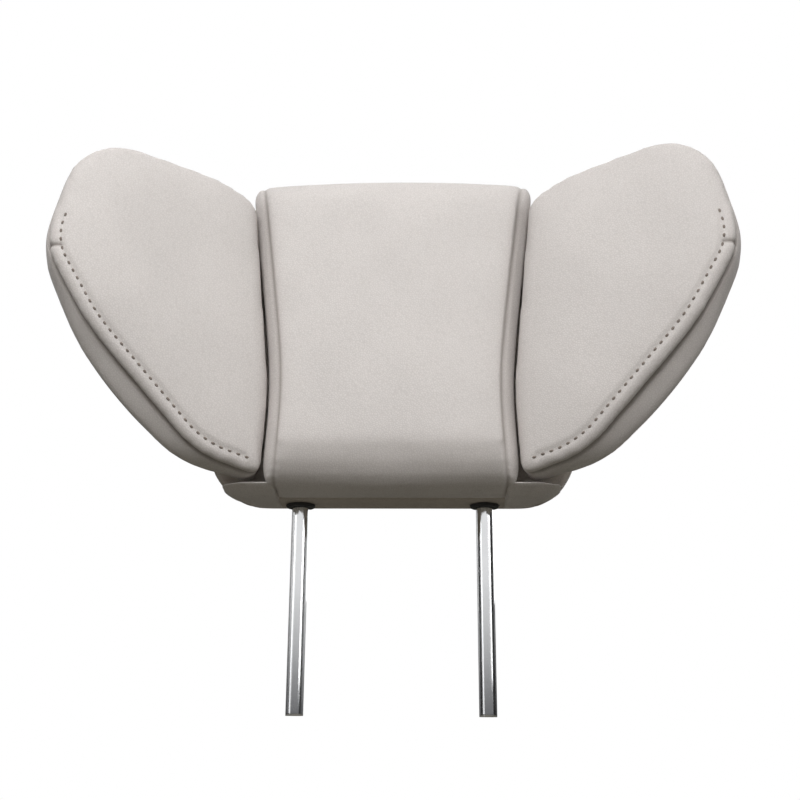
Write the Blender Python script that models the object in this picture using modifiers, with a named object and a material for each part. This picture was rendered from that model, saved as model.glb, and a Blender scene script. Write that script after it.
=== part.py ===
"""A car head restraint: a heated centre pad and two folding side wings on a bent steel stay.

Metres, +Z up, the front faces -Y. The origin lies midway between the lower ends of the posts.
Heights named in the body are measured up from its underside, which is UNDERSIDE above the origin.
"""

import math

import bmesh
import bpy
from mathutils import Matrix, Vector

MM = 0.001

# Fits
SEAT_GAP = 0.3 * MM
SEAM_GAP = 0.9 * MM
COVER = 1.4 * MM
EAR_CLEARANCE = 1.2 * MM
PAST = 5 * MM

# Stay
POST_SPACING = 130 * MM
POST_RADIUS = 6 * MM
POST_WALL = 1.5 * MM
UNDERSIDE = 143 * MM
STAY_RISE = 150 * MM
STAY_BEND = 30 * MM
NOTCH_RADIUS = 2.5 * MM
NOTCH_DEPTH = 1.2 * MM
NOTCH_PITCH = 22 * MM
NOTCH_START = 50 * MM
NOTCHES = 3

# Centre pad
PAD_HEIGHT = 226 * MM
PAD_TOP_HALF = 99.8 * MM
PAD_WAIST_HALF = 83 * MM
PAD_BOTTOM_HALF = 85.5 * MM
PAD_WAIST_HEIGHT = 76 * MM
PAD_WAIST_SOFT = 25 * MM
PAD_FRONT_BOTTOM = 68 * MM
PAD_FRONT_TOP = 60 * MM
PAD_CHIN_ROLL = 30 * MM
PAD_BROW_ROLL = 18 * MM
PAD_EDGE = 9 * MM
PAD_LEVEL_STEP = 22 * MM

# Rear body
SHOULDER = 20 * MM
REAR_DEPTH = 34 * MM
REAR_HALF = 130 * MM
REAR_HEIGHT = 226 * MM
REAR_BOTTOM_CORNER = 36 * MM
REAR_TOP_CORNER = 38 * MM
REAR_ROLL = 15 * MM

# Carrier
CARRIER_HALF = 78 * MM
CARRIER_LOW = 14 * MM
CARRIER_HIGH = 176 * MM
CARRIER_REAR = 16 * MM
CARRIER_WALL = 2.5 * MM
RIB_HEIGHTS = (40 * MM, 85 * MM, 125 * MM)
BOSS_RADIUS = 5 * MM
BOSS_PLACES = ((-30 * MM, 62 * MM), (30 * MM, 62 * MM), (-30 * MM, 106 * MM), (30 * MM, 106 * MM))
BOSS_BORE = 2.3 * MM

# Collars where the posts come out
COLLAR_SLEEVE = 8 * MM
COLLAR_FLANGE = 10.5 * MM
COLLAR_LIP = 1.6 * MM

# Heating
MAT_WIDTH = 120 * MM
MAT_HEIGHT = 130 * MM
MAT_THICK = 0.8 * MM
MAT_MIDDLE = 112 * MM
THERMOSTAT = (16 * MM, 4 * MM, 10 * MM)
LEAD_ENTRY = -20 * MM
LEAD_RADIUS = 1.5 * MM
LEAD_BEND = 4 * MM

# Hinges
HINGE_OUT = 114 * MM
HINGE_FORWARD = 55.5 * MM
HINGE_LOW = 40 * MM
HINGE_HIGH = 120 * MM
EAR_THICK = 3 * MM
EYE_RADIUS = 8.5 * MM
ROD_RADIUS = 3 * MM
ROD_HEAD_RADIUS = 6 * MM
ROD_HEAD = 3 * MM
BUSH_RADIUS = 4.8 * MM
BUSH_FLANGE_RADIUS = 8 * MM
BUSH_FLANGE = 1 * MM
SPRING_RADIUS = 7.5 * MM
SPRING_THICK = 1.5 * MM
NUT_RADIUS = 5.8 * MM
NUT_THICK = 5 * MM
BRACKET_BACK = 60 * MM
BRACKET_SHOULDER = 39 * MM
SCREW_RADIUS = 1.7 * MM
SCREW_HEAD_RADIUS = 3.6 * MM
SCREW_HEAD = 2 * MM
SCREW_INSET = 25 * MM

# Wings
WING_FOLD = math.radians(18)
WING_FORWARD_LIMIT = math.radians(60)
WING_THICK = 40 * MM
WING_AXIS_DEPTH = 13 * MM
WING_ROLL = 8 * MM
WING_BACK_ROLL = 12 * MM
WING_GAP = 3 * MM
WING_TIP_HEIGHT = 8 * MM
WING_NOTCH_HEIGHT = 207 * MM
WING_END_CORNER = 13 * MM
WING_WAIST_CURVE = 200 * MM
# Outline corners: distance outwards from the hinge, height, radius
WING_HEEL = (18 * MM, 21 * MM, 70 * MM)
WING_FLANK = (95 * MM, 104 * MM, 150 * MM)
WING_ELBOW = (128 * MM, 158 * MM, 45 * MM)
WING_CROWN = (108 * MM, 245 * MM, 38 * MM)
WING_SHOULDER = (10 * MM, 221.5 * MM, 90 * MM)
# Swell of the wall along the flank, between these distances outwards from the hinge
WING_SWELL = 9.5 * MM
SWELL_START = 8 * MM
SWELL_END = 128 * MM
SWELL_CROWN = 17 * MM
SWELL_BACK = 0.4
SWELL_ENDS = 1.5
SWELL_LEVELS = 3
SWELL_TOP = (50 * MM, 0.85)
SWELL_AWAY = Vector((0.73, 0, -0.68))
BOARD_DEPTH = 24.3 * MM
BOARD_THICK = 5 * MM
LEAF_THICK = 2.3 * MM
LEAF_START = 10.5 * MM
LEAF_END = 32 * MM

LEATHER = ((0.64, 0.60, 0.565), 0.48, 0.0)
LEATHER_SHADE = ((0.47, 0.43, 0.39), 0.52, 0.0)
FOAM = ((0.78, 0.74, 0.58), 0.9, 0.0)
CHROME = ((0.86, 0.87, 0.88), 0.08, 1.0)
STEEL = ((0.45, 0.46, 0.48), 0.35, 1.0)
PLASTIC = ((0.045, 0.045, 0.05), 0.5, 0.0)
BOARD = ((0.16, 0.16, 0.17), 0.6, 0.0)
HEATER = ((0.55, 0.16, 0.08), 0.6, 0.0)
BRASS = ((0.72, 0.56, 0.26), 0.3, 1.0)

AXES = {"X": Vector((1, 0, 0)), "Y": Vector((0, 1, 0)), "Z": Vector((0, 0, 1))}
SIDES = {"left": -1, "right": 1}


# Scene set-up


def clear_scene():
    for obj in list(bpy.data.objects):
        bpy.data.objects.remove(obj, do_unlink=True)


def collection(name, helper=False):
    group = bpy.data.collections.new(name)
    bpy.context.scene.collection.children.link(group)
    group.hide_render = helper
    return group


def material(name, look):
    color, roughness, metallic = look
    made = bpy.data.materials.new(name)
    made.use_nodes = True
    shader = made.node_tree.nodes["Principled BSDF"]
    shader.inputs["Base Color"].default_value = (*color, 1.0)
    shader.inputs["Roughness"].default_value = roughness
    shader.inputs["Metallic"].default_value = metallic
    made.diffuse_color = (*color, 1.0)
    return made


def empty(name, location, turn=0.0):
    pivot = bpy.data.objects.new(name, None)
    pivot.location = location
    pivot.rotation_euler.z = turn
    parts.objects.link(pivot)
    return pivot


def place(obj, parent, location):
    obj.parent = parent
    obj.location = location


def part(name, bm, look, parent=None, location=(0, 0, 0), smooth=True):
    """A sub-part from a bmesh, with its own material."""
    bmesh.ops.recalc_face_normals(bm, faces=bm.faces[:])
    return part_from_open(name, bm, look, parent, location, smooth)


def part_from_open(name, bm, look, parent=None, location=(0, 0, 0), smooth=True):
    """A sub-part from a bmesh whose faces already point the right way."""
    mesh = bpy.data.meshes.new(name)
    bm.to_mesh(mesh)
    bm.free()
    mesh.materials.append(material(name, look))
    mesh.shade_smooth() if smooth else mesh.shade_flat()
    obj = bpy.data.objects.new(name, mesh)
    parts.objects.link(obj)
    place(obj, parent, location)
    return obj


def helper(name, bm, parent=None, location=(0, 0, 0)):
    """A solid that only cuts or joins others."""
    bmesh.ops.recalc_face_normals(bm, faces=bm.faces[:])
    mesh = bpy.data.meshes.new(name)
    bm.to_mesh(mesh)
    bm.free()
    obj = bpy.data.objects.new(name, mesh)
    obj.hide_render = True
    obj.display_type = "WIRE"
    helpers.objects.link(obj)
    place(obj, parent, location)
    return obj


def boolean(obj, other, operation="DIFFERENCE"):
    modifier = obj.modifiers.new(f"{operation.lower()}_{other.name}", "BOOLEAN")
    modifier.operation = operation
    modifier.object = other
    modifier.solver = "EXACT"


def thicken(obj, thickness):
    """Gives an open outer surface its thickness, inwards."""
    modifier = obj.modifiers.new("thickness", "SOLIDIFY")
    modifier.thickness = thickness
    modifier.offset = -1
    modifier.use_even_offset = True


# Shapes


def rounded(corners, inset=0.0, step=math.radians(12)):
    """The outline of an anticlockwise polygon of (x, y, radius) corners, moved inwards by inset."""
    points = [Vector(corner[:2]) for corner in corners]
    outline = []
    for index, (point, corner) in enumerate(zip(points, corners)):
        before = (point - points[index - 1]).normalized()
        after = (points[(index + 1) % len(points)] - point).normalized()
        turn = math.atan2(before.cross(after), before.dot(after))
        left_before, left_after = before.orthogonal(), after.orthogonal()
        moved = point + (left_before + left_after) * inset / (1 + left_before.dot(left_after))
        radius = corner[2] - math.copysign(inset, turn)
        if corner[2] == 0 or radius <= 0:
            outline.append(moved)
            continue
        start = moved - before * radius * math.tan(abs(turn) / 2)
        centre = start + left_before * math.copysign(radius, turn)
        pieces = max(1, math.ceil(abs(turn) / step))
        for piece in range(pieces + 1):
            spoke = start - centre
            spoke.rotate(Matrix.Rotation(turn * piece / pieces, 2))
            outline.append(centre + spoke)
    return outline


def bent(corners, step=math.radians(15)):
    """Points along a path through (point, bend radius) corners, with an arc at each inner corner."""
    path = [Vector(corners[0][0])]
    for (before, _), (point, radius), (after, _) in zip(corners, corners[1:], corners[2:]):
        point = Vector(point)
        arrive, leave = (point - Vector(before)).normalized(), (Vector(after) - point).normalized()
        turn = arrive.angle(leave)
        start = point - arrive * radius * math.tan(turn / 2)
        inward = (leave - arrive * leave.dot(arrive)).normalized()
        pieces = math.ceil(turn / step)
        for piece in range(pieces + 1):
            angle = turn * piece / pieces
            path.append(start + arrive * radius * math.sin(angle) + inward * radius * (1 - math.cos(angle)))
    path.append(Vector(corners[-1][0]))
    return path


def prism(outline, low, high, along="Z"):
    """An outline in the plane square to one axis, extruded from low to high."""
    lift = {
        "X": lambda point: (low, point.x, point.y),
        "Y": lambda point: (point.x, low, point.y),
        "Z": lambda point: (point.x, point.y, low),
    }[along]
    bm = bmesh.new()
    face = bm.faces.new([bm.verts.new(lift(point)) for point in outline])
    extruded = bmesh.ops.extrude_face_region(bm, geom=[face])["geom"]
    moved = [item for item in extruded if isinstance(item, bmesh.types.BMVert)]
    bmesh.ops.translate(bm, verts=moved, vec=AXES[along] * (high - low))
    bmesh.ops.recalc_face_normals(bm, faces=bm.faces[:])
    return bm


def round_rim(bm, along, level, radius, segments=3):
    """Rounds the edges of a prism's end at the given level."""
    axis = AXES[along]
    rim = [
        edge
        for edge in bm.edges
        if all(abs(vert.co.dot(axis) - level) < 0.01 * MM for vert in edge.verts)
    ]
    bmesh.ops.bevel(bm, geom=rim, offset=radius, segments=segments, profile=0.5, affect="EDGES")
    bmesh.ops.recalc_face_normals(bm, faces=bm.faces[:])


def box(low, high):
    bm = bmesh.new()
    bmesh.ops.create_cube(bm, size=1)
    size = Vector(high) - Vector(low)
    bmesh.ops.scale(bm, verts=bm.verts[:], vec=size)
    bmesh.ops.translate(bm, verts=bm.verts[:], vec=(Vector(low) + Vector(high)) / 2)
    return bm


def cylinder(radius, start, end, segments=24, into=None):
    """A cylinder between two points, in its own bmesh or added to another."""
    bm = into or bmesh.new()
    start, end = Vector(start), Vector(end)
    turn = (end - start).to_track_quat("Z", "Y").to_matrix().to_4x4()
    bmesh.ops.create_cone(
        bm,
        cap_ends=True,
        segments=segments,
        radius1=radius,
        radius2=radius,
        depth=(end - start).length,
        matrix=Matrix.Translation((start + end) / 2) @ turn,
    )
    return bm


def tube_mesh(name, path, radius, sides_level=4):
    """A closed round bar along a path, as a bmesh made from a bevelled curve."""
    curve = bpy.data.curves.new(name, "CURVE")
    curve.dimensions = "3D"
    curve.bevel_depth = radius
    curve.bevel_resolution = sides_level
    curve.use_fill_caps = True
    spline = curve.splines.new("POLY")
    spline.points.add(len(path) - 1)
    for point, place_at in zip(spline.points, path):
        point.co = (*place_at, 1)
    guide = bpy.data.objects.new(name, curve)
    helpers.objects.link(guide)
    bpy.context.view_layer.update()
    graph = bpy.context.evaluated_depsgraph_get()
    mesh = bpy.data.meshes.new_from_object(guide.evaluated_get(graph))
    bm = bmesh.new()
    bm.from_mesh(mesh)
    bmesh.ops.remove_doubles(bm, verts=bm.verts[:], dist=0.001 * MM)
    bpy.data.objects.remove(guide)
    bpy.data.meshes.remove(mesh)
    return bm


def turned(name, profile, look, parent=None, location=(0, 0, 0), closed=False, steps=24):
    """A turned piece. The profile of (radius, height) runs down its outer side."""
    bm = bmesh.new()
    verts = [bm.verts.new((radius, 0, height)) for radius, height in profile]
    ends = verts[1:] + verts[:1] if closed else verts[1:]
    for first, second in zip(verts, ends):
        bm.edges.new((first, second))
    obj = part_from_open(name, bm, look, parent, location)
    screw = obj.modifiers.new("turn", "SCREW")
    screw.axis = "Z"
    screw.steps = screw.render_steps = steps
    screw.use_merge_vertices = True
    screw.merge_threshold = 0.00001
    screw.use_smooth_shade = True
    return obj


def ring(name, inner, outer, low, high, look, parent=None, location=(0, 0, 0)):
    profile = [(outer, high), (outer, low), (inner, low), (inner, high)]
    return turned(name, profile, look, parent, location, closed=True)


def screw_piece(name, length, look, parent, location, axis):
    """A screw with its seat under the head at the location and its shank along the axis."""
    profile = [
        (0, SCREW_HEAD),
        (SCREW_HEAD_RADIUS * 0.7, SCREW_HEAD),
        (SCREW_HEAD_RADIUS, SCREW_HEAD * 0.4),
        (SCREW_HEAD_RADIUS, 0),
        (SCREW_RADIUS, 0),
        (SCREW_RADIUS, -length + SCREW_RADIUS),
        (0, -length),
    ]
    obj = turned(name, profile, look, parent, location, steps=12)
    obj.rotation_euler = (-Vector(axis)).to_track_quat("Z", "Y").to_euler()
    return obj


def keep_side(bm, along, level, below):
    """Cuts a closed body flat at a level and keeps one side of it."""
    normal = AXES[along]
    cut = bmesh.ops.bisect_plane(
        bm,
        geom=bm.verts[:] + bm.edges[:] + bm.faces[:],
        plane_co=normal * level,
        plane_no=normal,
        clear_outer=below,
        clear_inner=not below,
    )
    edges = [item for item in cut["geom_cut"] if isinstance(item, bmesh.types.BMEdge)]
    bmesh.ops.contextual_create(bm, geom=edges)
    bmesh.ops.recalc_face_normals(bm, faces=bm.faces[:])


def panel(surface, keep):
    """The faces of a surface that keep() picks, drawn in a little where it meets its neighbours."""
    bm = surface.copy()
    bmesh.ops.delete(bm, geom=[face for face in bm.faces if not keep(face)], context="FACES")
    rim = bmesh.ops.inset_region(
        bm, faces=bm.faces[:], use_boundary=True, use_even_offset=True, thickness=SEAM_GAP / 2
    )["faces"]
    bmesh.ops.delete(bm, geom=rim, context="FACES")
    return bm


def mirrored(bm, side):
    """The same shape for the left-hand side."""
    if side < 0:
        bmesh.ops.scale(bm, verts=bm.verts[:], vec=(-1, 1, 1))
        bmesh.ops.reverse_faces(bm, faces=bm.faces[:])
    return bm


# Stay


def stay_path(past=0.0):
    half = POST_SPACING / 2
    return bent(
        [
            ((-half, 0, -UNDERSIDE - past), 0),
            ((-half, 0, STAY_RISE), STAY_BEND),
            ((half, 0, STAY_RISE), STAY_BEND),
            ((half, 0, -UNDERSIDE - past), 0),
        ]
    )


def make_stay(body):
    stay = part("stay", tube_mesh("stay_bar", stay_path(), POST_RADIUS), CHROME, body)
    bore = tube_mesh("stay_bore", stay_path(PAST), POST_RADIUS - POST_WALL)
    boolean(stay, helper("cut_stay_bore", bore, body))
    wall_outside = (LEAD_ENTRY, -2 * POST_RADIUS, STAY_RISE)
    entry = cylinder(LEAD_RADIUS + EAR_CLEARANCE, wall_outside, (LEAD_ENTRY, 0, STAY_RISE))
    boolean(stay, helper("cut_lead_entry", entry, body))
    notches = bmesh.new()
    for index in range(NOTCHES):
        height = -UNDERSIDE + NOTCH_START + index * NOTCH_PITCH
        back = POST_RADIUS - NOTCH_DEPTH + NOTCH_RADIUS
        left = -POST_SPACING / 2
        start, end = (left - 2 * POST_RADIUS, back, height), (left + 2 * POST_RADIUS, back, height)
        cylinder(NOTCH_RADIUS, start, end, 16, notches)
    boolean(stay, helper("cut_notches", notches, body))


def make_collar(name, side, body):
    bore = POST_RADIUS + SEAT_GAP
    profile = [
        (COLLAR_SLEEVE, CARRIER_LOW - 2 * SEAT_GAP),
        (COLLAR_SLEEVE, -SEAT_GAP),
        (COLLAR_FLANGE, -SEAT_GAP),
        (COLLAR_FLANGE - COLLAR_LIP / 2, -SEAT_GAP - COLLAR_LIP),
        (bore, -SEAT_GAP - COLLAR_LIP),
        (bore, CARRIER_LOW - 2 * SEAT_GAP),
    ]
    turned(name, profile, PLASTIC, body, (side * POST_SPACING / 2, 0, 0), closed=True)


# Carrier


def carrier_half(name, face, body, stay_cutter):
    """One moulded half of the carrier: a ribbed tray, open at the plane of the stay."""
    toward = math.copysign(1, face)
    parting = toward * SEAT_GAP / 2
    low = (-CARRIER_HALF, min(face, parting), CARRIER_LOW)
    high = (CARRIER_HALF, max(face, parting), CARRIER_HIGH)
    bm = box(low, high)
    bmesh.ops.recalc_face_normals(bm, faces=bm.faces[:])
    open_face = [item for item in bm.faces if item.normal.y * toward < -0.9]
    bmesh.ops.delete(bm, geom=open_face, context="FACES")
    tray = part_from_open(name, bm, PLASTIC, body, smooth=False)
    thicken(tray, CARRIER_WALL)
    wall = face - toward * CARRIER_WALL / 2
    for index, height in enumerate(RIB_HEIGHTS):
        reach = CARRIER_HALF - CARRIER_WALL / 2
        rib = box(
            (-reach, min(wall, parting), height - CARRIER_WALL / 2),
            (reach, max(wall, parting), height + CARRIER_WALL / 2),
        )
        boolean(tray, helper(f"join_{name}_rib_{index}", rib, body), "UNION")
    bosses = bmesh.new()
    bores = bmesh.new()
    bore_end = face + toward * PAST if toward > 0 else face + CARRIER_WALL + SEAT_GAP
    for x, height in BOSS_PLACES:
        cylinder(BOSS_RADIUS, (x, wall, height), (x, parting, height), 20, bosses)
        cylinder(BOSS_BORE, (x, bore_end, height), (x, -toward * PAST, height), 16, bores)
    boolean(tray, helper(f"join_{name}_bosses", bosses, body), "UNION")
    boolean(tray, helper(f"cut_{name}_bores", bores, body))
    boolean(tray, stay_cutter)
    return tray


def make_carrier(body):
    seat = helper("cut_stay_seat", tube_mesh("stay_seat", stay_path(PAST), POST_RADIUS + SEAT_GAP), body)
    front = carrier_half("carrier_front", -SHOULDER, body, seat)
    carrier_half("carrier_rear", CARRIER_REAR, body, seat)
    hole_start, hole_end = (LEAD_ENTRY, -SHOULDER - PAST, STAY_RISE), (LEAD_ENTRY, -POST_RADIUS, STAY_RISE)
    lead_hole = cylinder(LEAD_RADIUS + EAR_CLEARANCE, hole_start, hole_end)
    boolean(front, helper("cut_lead_hole", lead_hole, body))
    bracket_bores = bmesh.new()
    for side in SIDES.values():
        for height in bracket_screw_heights():
            outer, inner = side * (CARRIER_HALF + PAST), side * (CARRIER_HALF - PAST)
            start, end = (outer, BRACKET_SCREW_Y, height), (inner, BRACKET_SCREW_Y, height)
            cylinder(SCREW_RADIUS + SEAT_GAP, start, end, 16, bracket_bores)
    boolean(front, helper("cut_bracket_bores", bracket_bores, body))
    length = CARRIER_REAR + SHOULDER - CARRIER_WALL - SEAT_GAP
    for index, (x, height) in enumerate(BOSS_PLACES):
        seat_at = (x, CARRIER_REAR + SEAT_GAP, height)
        screw_piece(f"carrier_screw_{index + 1}", length, STEEL, body, seat_at, (0, -1, 0))


# Hinge brackets and rods


def bracket_outline(inset=0.0):
    """The ear in plan, from the hinge axis back to the carrier's side, for the right-hand side."""
    root = CARRIER_HALF + SEAT_GAP - HINGE_OUT
    corners = [
        (-EYE_RADIUS, -EYE_RADIUS, EYE_RADIUS),
        (EYE_RADIUS, -EYE_RADIUS, EYE_RADIUS),
        (EYE_RADIUS, BRACKET_BACK, EAR_THICK),
        (root, BRACKET_BACK, 0),
        (root, BRACKET_SHOULDER, 0),
        (-EYE_RADIUS, BRACKET_SHOULDER, EAR_THICK),
    ]
    return rounded(corners, inset)


def bracket_screw_heights():
    return HINGE_LOW + SCREW_INSET, HINGE_HIGH - SCREW_INSET


def make_bracket(name, side, hinge):
    root = CARRIER_HALF + SEAT_GAP - HINGE_OUT
    low, high = HINGE_LOW - EAR_THICK / 2, HINGE_HIGH + EAR_THICK / 2
    bracket = part(name, mirrored(prism(bracket_outline(), low, high), side), STEEL, hinge)
    between = box(
        (root + EAR_THICK, -EYE_RADIUS - PAST, low + EAR_THICK),
        (EYE_RADIUS + PAST, BRACKET_BACK + PAST, high - EAR_THICK),
    )
    boolean(bracket, helper(f"cut_{name}_middle", mirrored(between, side), hinge))
    bore = cylinder(ROD_RADIUS + SEAT_GAP, (0, 0, low - PAST), (0, 0, high + PAST))
    boolean(bracket, helper(f"cut_{name}_bore", bore, hinge))
    screws = bmesh.new()
    screw_y = BRACKET_SCREW_Y + HINGE_FORWARD
    for index, height in enumerate(bracket_screw_heights()):
        start, end = side * (root - PAST), side * (root + EAR_THICK + PAST)
        cylinder(SCREW_RADIUS + SEAT_GAP, (start, screw_y, height), (end, screw_y, height), 16, screws)
        seat_at = (side * (root + EAR_THICK + SEAT_GAP), screw_y, height)
        length = EAR_THICK + CARRIER_WALL + 2 * SEAT_GAP
        screw_piece(f"{name}_screw_{index + 1}", length, STEEL, hinge, seat_at, (-side, 0, 0))
    boolean(bracket, helper(f"cut_{name}_screws", screws, hinge))


def ear_levels(hinge_height):
    """The heights of a bush flange and of the wing's ear over the bracket's ear at this height."""
    flange = hinge_height + EAR_THICK / 2 + SEAT_GAP
    return flange, flange + BUSH_FLANGE + SEAT_GAP


def stack_top():
    """The heights over the upper hinge of the disc spring, the nut and the rod's end."""
    spring = ear_levels(HINGE_HIGH)[1] + EAR_THICK + SEAT_GAP
    nut = spring + SPRING_THICK + SEAT_GAP
    return spring, nut, nut + NUT_THICK + SEAT_GAP


def make_rod(side_name, hinge):
    spring, nut, top = stack_top()
    under = HINGE_LOW - EAR_THICK / 2 - SEAT_GAP
    profile = [
        (0, top),
        (ROD_RADIUS, top),
        (ROD_RADIUS, under),
        (ROD_HEAD_RADIUS, under),
        (ROD_HEAD_RADIUS, under - ROD_HEAD),
        (0, under - ROD_HEAD),
    ]
    turned(f"hinge_rod_{side_name}", profile, STEEL, hinge)
    bore = ROD_RADIUS + SEAT_GAP
    ring(f"disc_spring_{side_name}", bore, SPRING_RADIUS, spring, spring + SPRING_THICK, STEEL, hinge)
    hexagon = cylinder(NUT_RADIUS, (0, 0, nut), (0, 0, nut + NUT_THICK), 6)
    nut_part = part(f"rod_nut_{side_name}", hexagon, STEEL, hinge, smooth=False)
    hole = cylinder(bore, (0, 0, nut - PAST), (0, 0, nut + NUT_THICK + PAST))
    boolean(nut_part, helper(f"cut_rod_nut_{side_name}", hole, hinge))


# Centre pad


def pad_half(height):
    """Half the pad's width at a height: straight flanks joined by a soft waist."""
    above = (PAD_TOP_HALF - PAD_WAIST_HALF) / (PAD_HEIGHT - PAD_WAIST_HEIGHT)
    below = (PAD_BOTTOM_HALF - PAD_WAIST_HALF) / PAD_WAIST_HEIGHT
    rise = height - PAD_WAIST_HEIGHT
    lean, spread = (above - below) / 2, (above + below) / 2
    return PAD_WAIST_HALF + lean * rise + spread * (math.hypot(rise, PAD_WAIST_SOFT) - PAD_WAIST_SOFT)


def pad_front(height):
    """How far the pad's front lies from the posts at a height."""
    return PAD_FRONT_BOTTOM + (PAD_FRONT_TOP - PAD_FRONT_BOTTOM) * height / PAD_HEIGHT


def pad_surface(inset=0.0):
    """The pad's outer surface, moved inwards by inset all round but not at its back."""
    back = -SHOULDER - SEAT_GAP + inset
    corners = [
        (-PAD_FRONT_BOTTOM, 0, PAD_CHIN_ROLL),
        (back, 0, 0),
        (back, PAD_HEIGHT, 0),
        (-PAD_FRONT_TOP, PAD_HEIGHT, PAD_BROW_ROLL),
    ]
    bm = prism(rounded(corners, inset), -1, 1, "X")
    low = PAD_CHIN_ROLL + PAD_EDGE
    levels = math.ceil((PAD_HEIGHT - PAD_BROW_ROLL - PAD_EDGE - low) / PAD_LEVEL_STEP)
    for index in range(levels):
        height = low + index * PAD_LEVEL_STEP
        everything = bm.verts[:] + bm.edges[:] + bm.faces[:]
        bmesh.ops.bisect_plane(bm, geom=everything, plane_co=(0, 0, height), plane_no=(0, 0, 1))
    for vert in bm.verts:
        vert.co.x *= pad_half(vert.co.z) - inset
    bmesh.ops.recalc_face_normals(bm, faces=bm.faces[:])
    rim = [
        edge
        for edge in bm.edges
        if sum(abs(face.normal.x) > 0.9 for face in edge.link_faces) == 1
        and not all(face.normal.y > 0.9 or abs(face.normal.x) > 0.9 for face in edge.link_faces)
    ]
    bmesh.ops.bevel(bm, geom=rim, offset=PAD_EDGE - inset, segments=3, profile=0.5, affect="EDGES")
    bmesh.ops.recalc_face_normals(bm, faces=bm.faces[:])
    return bm


def heater_frame():
    """The matrix of the heater mat's front face: its middle, leaning back with the pad's front."""
    lean = math.atan2(PAD_FRONT_BOTTOM - PAD_FRONT_TOP, PAD_HEIGHT)
    depth = (COVER + SEAT_GAP) / math.cos(lean)
    middle = (0, -pad_front(MAT_MIDDLE) + depth, MAT_MIDDLE)
    return Matrix.Translation(middle) @ Matrix.Rotation(-lean, 4, "X")


def thermostat_front():
    """The y of the thermostat's front, behind the mat at the height of the lead."""
    return -pad_front(STAY_RISE) + COVER + MAT_THICK + 3 * SEAT_GAP


def make_pad(body):
    cover = pad_surface()
    covering = [face for face in cover.faces if face.normal.y > 0.9]
    bmesh.ops.delete(cover, geom=covering, context="FACES")
    middle = PAD_WAIST_HALF / 2
    front = panel(cover, lambda face: abs(face.calc_center_median().x) < middle)
    thicken(part_from_open("pad_front_panel", front, LEATHER, body), COVER)
    for side_name, side in SIDES.items():
        gusset = panel(cover, lambda face: face.calc_center_median().x * side > middle)
        thicken(part_from_open(f"pad_gusset_{side_name}", gusset, LEATHER_SHADE, body), COVER)
    cover.free()
    foam = part("pad_foam", pad_surface(COVER + SEAT_GAP), FOAM, body)

    half, tall = MAT_WIDTH / 2, MAT_HEIGHT / 2
    mat = box((-half, 0, -tall), (half, MAT_THICK, tall))
    bmesh.ops.transform(mat, matrix=heater_frame(), verts=mat.verts[:])
    part("heater_mat", mat, HEATER, body, smooth=False)
    wide, high = half + SEAT_GAP, tall + SEAT_GAP
    around = box((-wide, -PAST, -high), (wide, MAT_THICK + SEAT_GAP, high))
    bmesh.ops.transform(around, matrix=heater_frame(), verts=around.verts[:])
    boolean(foam, helper("cut_heater_mat", around, body))

    wide, deep, high = THERMOSTAT
    front_y = thermostat_front()
    low = Vector((LEAD_ENTRY - wide / 2, front_y, STAY_RISE - high / 2))
    sensor = box(low, low + Vector(THERMOSTAT))
    part("thermostat", sensor, PLASTIC, body, smooth=False)
    room = Vector((SEAT_GAP, SEAT_GAP, SEAT_GAP))
    boolean(foam, helper("cut_thermostat", box(low - 4 * room, low + Vector(THERMOSTAT) + room), body))
    channel_start, channel_end = (LEAD_ENTRY, front_y + deep / 2, STAY_RISE), (LEAD_ENTRY, PAST, STAY_RISE)
    channel = cylinder(LEAD_RADIUS + SEAT_GAP, channel_start, channel_end)
    boolean(foam, helper("cut_lead_channel", channel, body))
    route = bent(
        [
            ((LEAD_ENTRY, front_y + deep + SEAT_GAP, STAY_RISE), 0),
            ((LEAD_ENTRY, 0, STAY_RISE), LEAD_BEND),
            ((-POST_SPACING / 2, 0, STAY_RISE), STAY_BEND),
            ((-POST_SPACING / 2, 0, -UNDERSIDE + 2 * LEAD_RADIUS), 0),
        ]
    )
    part("heater_lead", tube_mesh("lead_bar", route, LEAD_RADIUS, 2), PLASTIC, body)


# Rear body


def rear_corners():
    return [
        (-REAR_HALF, 0, REAR_BOTTOM_CORNER),
        (REAR_HALF, 0, REAR_BOTTOM_CORNER),
        (REAR_HALF, REAR_HEIGHT, REAR_TOP_CORNER),
        (-REAR_HALF, REAR_HEIGHT, REAR_TOP_CORNER),
    ]


def shoulder_back():
    """The y behind the shoulder panels, where the band and the rear foam start."""
    return -SHOULDER + COVER


def rear_surface(inset=0.0):
    bm = prism(rounded(rear_corners(), inset), shoulder_back() + inset, REAR_DEPTH - inset, "Y")
    round_rim(bm, "Y", REAR_DEPTH - inset, REAR_ROLL - inset)
    return bm


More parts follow.
